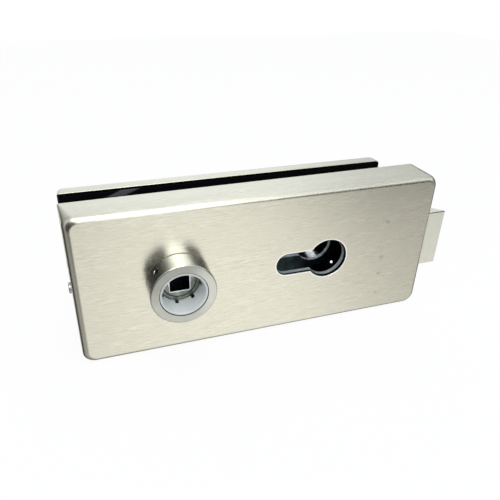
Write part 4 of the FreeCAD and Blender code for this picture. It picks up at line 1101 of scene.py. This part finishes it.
# The world is not even: it was fitted to what the metal mirrors in the photo. The first three curves give
# brightness by height, the fourth by x. A card or the low light is a direction with its outer and inner rim.
studio = {
    "front": [
        (-1.0, 0.50), (-0.75, 1.0), (-0.60, 1.07), (-0.44, 0.98), (-0.38, 0.86), (-0.25, 0.72),
        (-0.12, 1.08), (0.0, 1.5), (0.30, 1.6), (0.50, 2.1), (0.80, 1.4), (0.95, 1.0), (1.0, 0.97),
    ],
    "right": [
        (-1.0, 0.50), (-0.75, 1.0), (-0.60, 1.07), (-0.42, 1.03), (-0.30, 0.90), (-0.15, 0.66), (0.0, 0.56),
        (0.12, 0.60), (0.20, 0.95), (0.27, 2.1), (0.42, 2.3), (0.56, 1.0), (1.0, 0.97),
    ],
    "back": [(-1.0, 0.10), (0.0, 0.10), (0.10, 0.32), (0.24, 0.9), (0.40, 1.04), (1.0, 1.0)],
    "sides": [
        (-1.0, 0.28), (-0.55, 0.46), (-0.3, 0.66), (-0.05, 0.86), (0.10, 0.97), (0.20, 1.0), (0.38, 0.99),
        (0.46, 0.80), (0.53, 0.66), (0.62, 0.61), (0.72, 0.56), (1.0, 0.35),
    ],
    "rightFrom": (0.12, 0.40), "backFrom": (-0.15, 0.25), "leftCard": ((-0.565, -0.822, 0.06), 0.78, 0.88),
    "rightCard": ((0.56, -0.825, 0.03), 0.90, 0.955), "rightDarkness": 0.92,
    "lowLight": ((0.0, 0.906, -0.423), 0.72, 0.9), "lowStrength": 0.75, "cool": (0.965, 1.0, 1.06),
    "coolFrom": (-0.25, 0.3), "least": 0.02,
}


def makeWorld():
    world = bpy.data.worlds.new("studio")
    world.use_nodes = True
    bpy.context.scene.world = world
    graph = ShaderGraph(world.node_tree)
    way = graph.add("TexCoord", out="Generated")
    x, y, z = graph.axes(way)

    def toward(spot, low, high):
        settings = {"operation": "DOT_PRODUCT"}
        return graph.add("VectorMath", settings, {0: way, 1: spot}, 1).step(low, high)

    front, right, back = (heightCurve(z, studio[part]) for part in ("front", "right", "back"))
    front = front + x.step(*studio["rightFrom"]) * (right - front)
    level = front + y.step(*studio["backFrom"]) * (back - front)
    lowLight = toward(*studio["lowLight"]) * studio["lowStrength"]
    leftCard, rightCard = toward(*studio["leftCard"]), toward(*studio["rightCard"])
    cards = (1.0 - leftCard) * (1.0 - rightCard * studio["rightDarkness"])
    strength = ((level * heightCurve(x, studio["sides"]) + lowLight) * cards).most(studio["least"])
    camera = graph.add("LightPath")  # Is Camera Ray
    seen = strength + camera * (1.0 - strength)
    cool = graph.blend(z.step(*studio["coolFrom"]) * (1.0 - camera), (1.0, 1.0, 1.0), studio["cool"])
    shade = graph.add("Background", {}, {"Color": cool, "Strength": seen})
    graph.add("OutputWorld", {}, {0: shade})


lampShape = {"size": (0.6, 0.4), "energy": 2.0, "place": (-0.10, -0.45, 0.75), "aim": (0.04, 0, 0)}


def makeLamp():
    lamp = bpy.data.lights.new("softLamp", "AREA")
    lamp.shape = "RECTANGLE"
    lamp.size, lamp.size_y = lampShape["size"]
    lamp.energy = lampShape["energy"]
    lampObject = bpy.data.objects.new("softLamp", lamp)
    lampObject.location = lampShape["place"]
    aim = Vector(lampShape["aim"]) - lampObject.location
    lampObject.rotation_euler = aim.to_track_quat("-Z", "Y").to_euler()
    bpy.context.scene.collection.objects.link(lampObject)


cameraShape = {"lens": 35.955, "shift": (0.02996, -0.02113), "place": (-0.032434, -0.198826, 0.118705),
               "right": (0.9537, -0.30051, 0.01228), "down": (-0.133785, -0.460441, -0.877551),
               "ahead": (0.269367, 0.835277, -0.479326)}


def makeCamera():
    camera = bpy.data.cameras.new("photoView")
    camera.sensor_width = 36.0
    camera.lens = cameraShape["lens"]
    camera.shift_x, camera.shift_y = cameraShape["shift"]
    camera.clip_start = 0.01
    cameraObject = bpy.data.objects.new("photoView", camera)
    right, down, ahead = (Vector(cameraShape[part]) for part in ("right", "down", "ahead"))
    turn = Matrix((right, -down, -ahead)).transposed().to_4x4()
    cameraObject.matrix_world = Matrix.Translation(cameraShape["place"]) @ turn
    bpy.context.scene.collection.objects.link(cameraObject)
    bpy.context.scene.camera = cameraObject


makeFloor()
makeWorld()
makeLamp()
makeCamera()
bpy.context.scene.view_settings.view_transform = "Standard"
print("stage made")
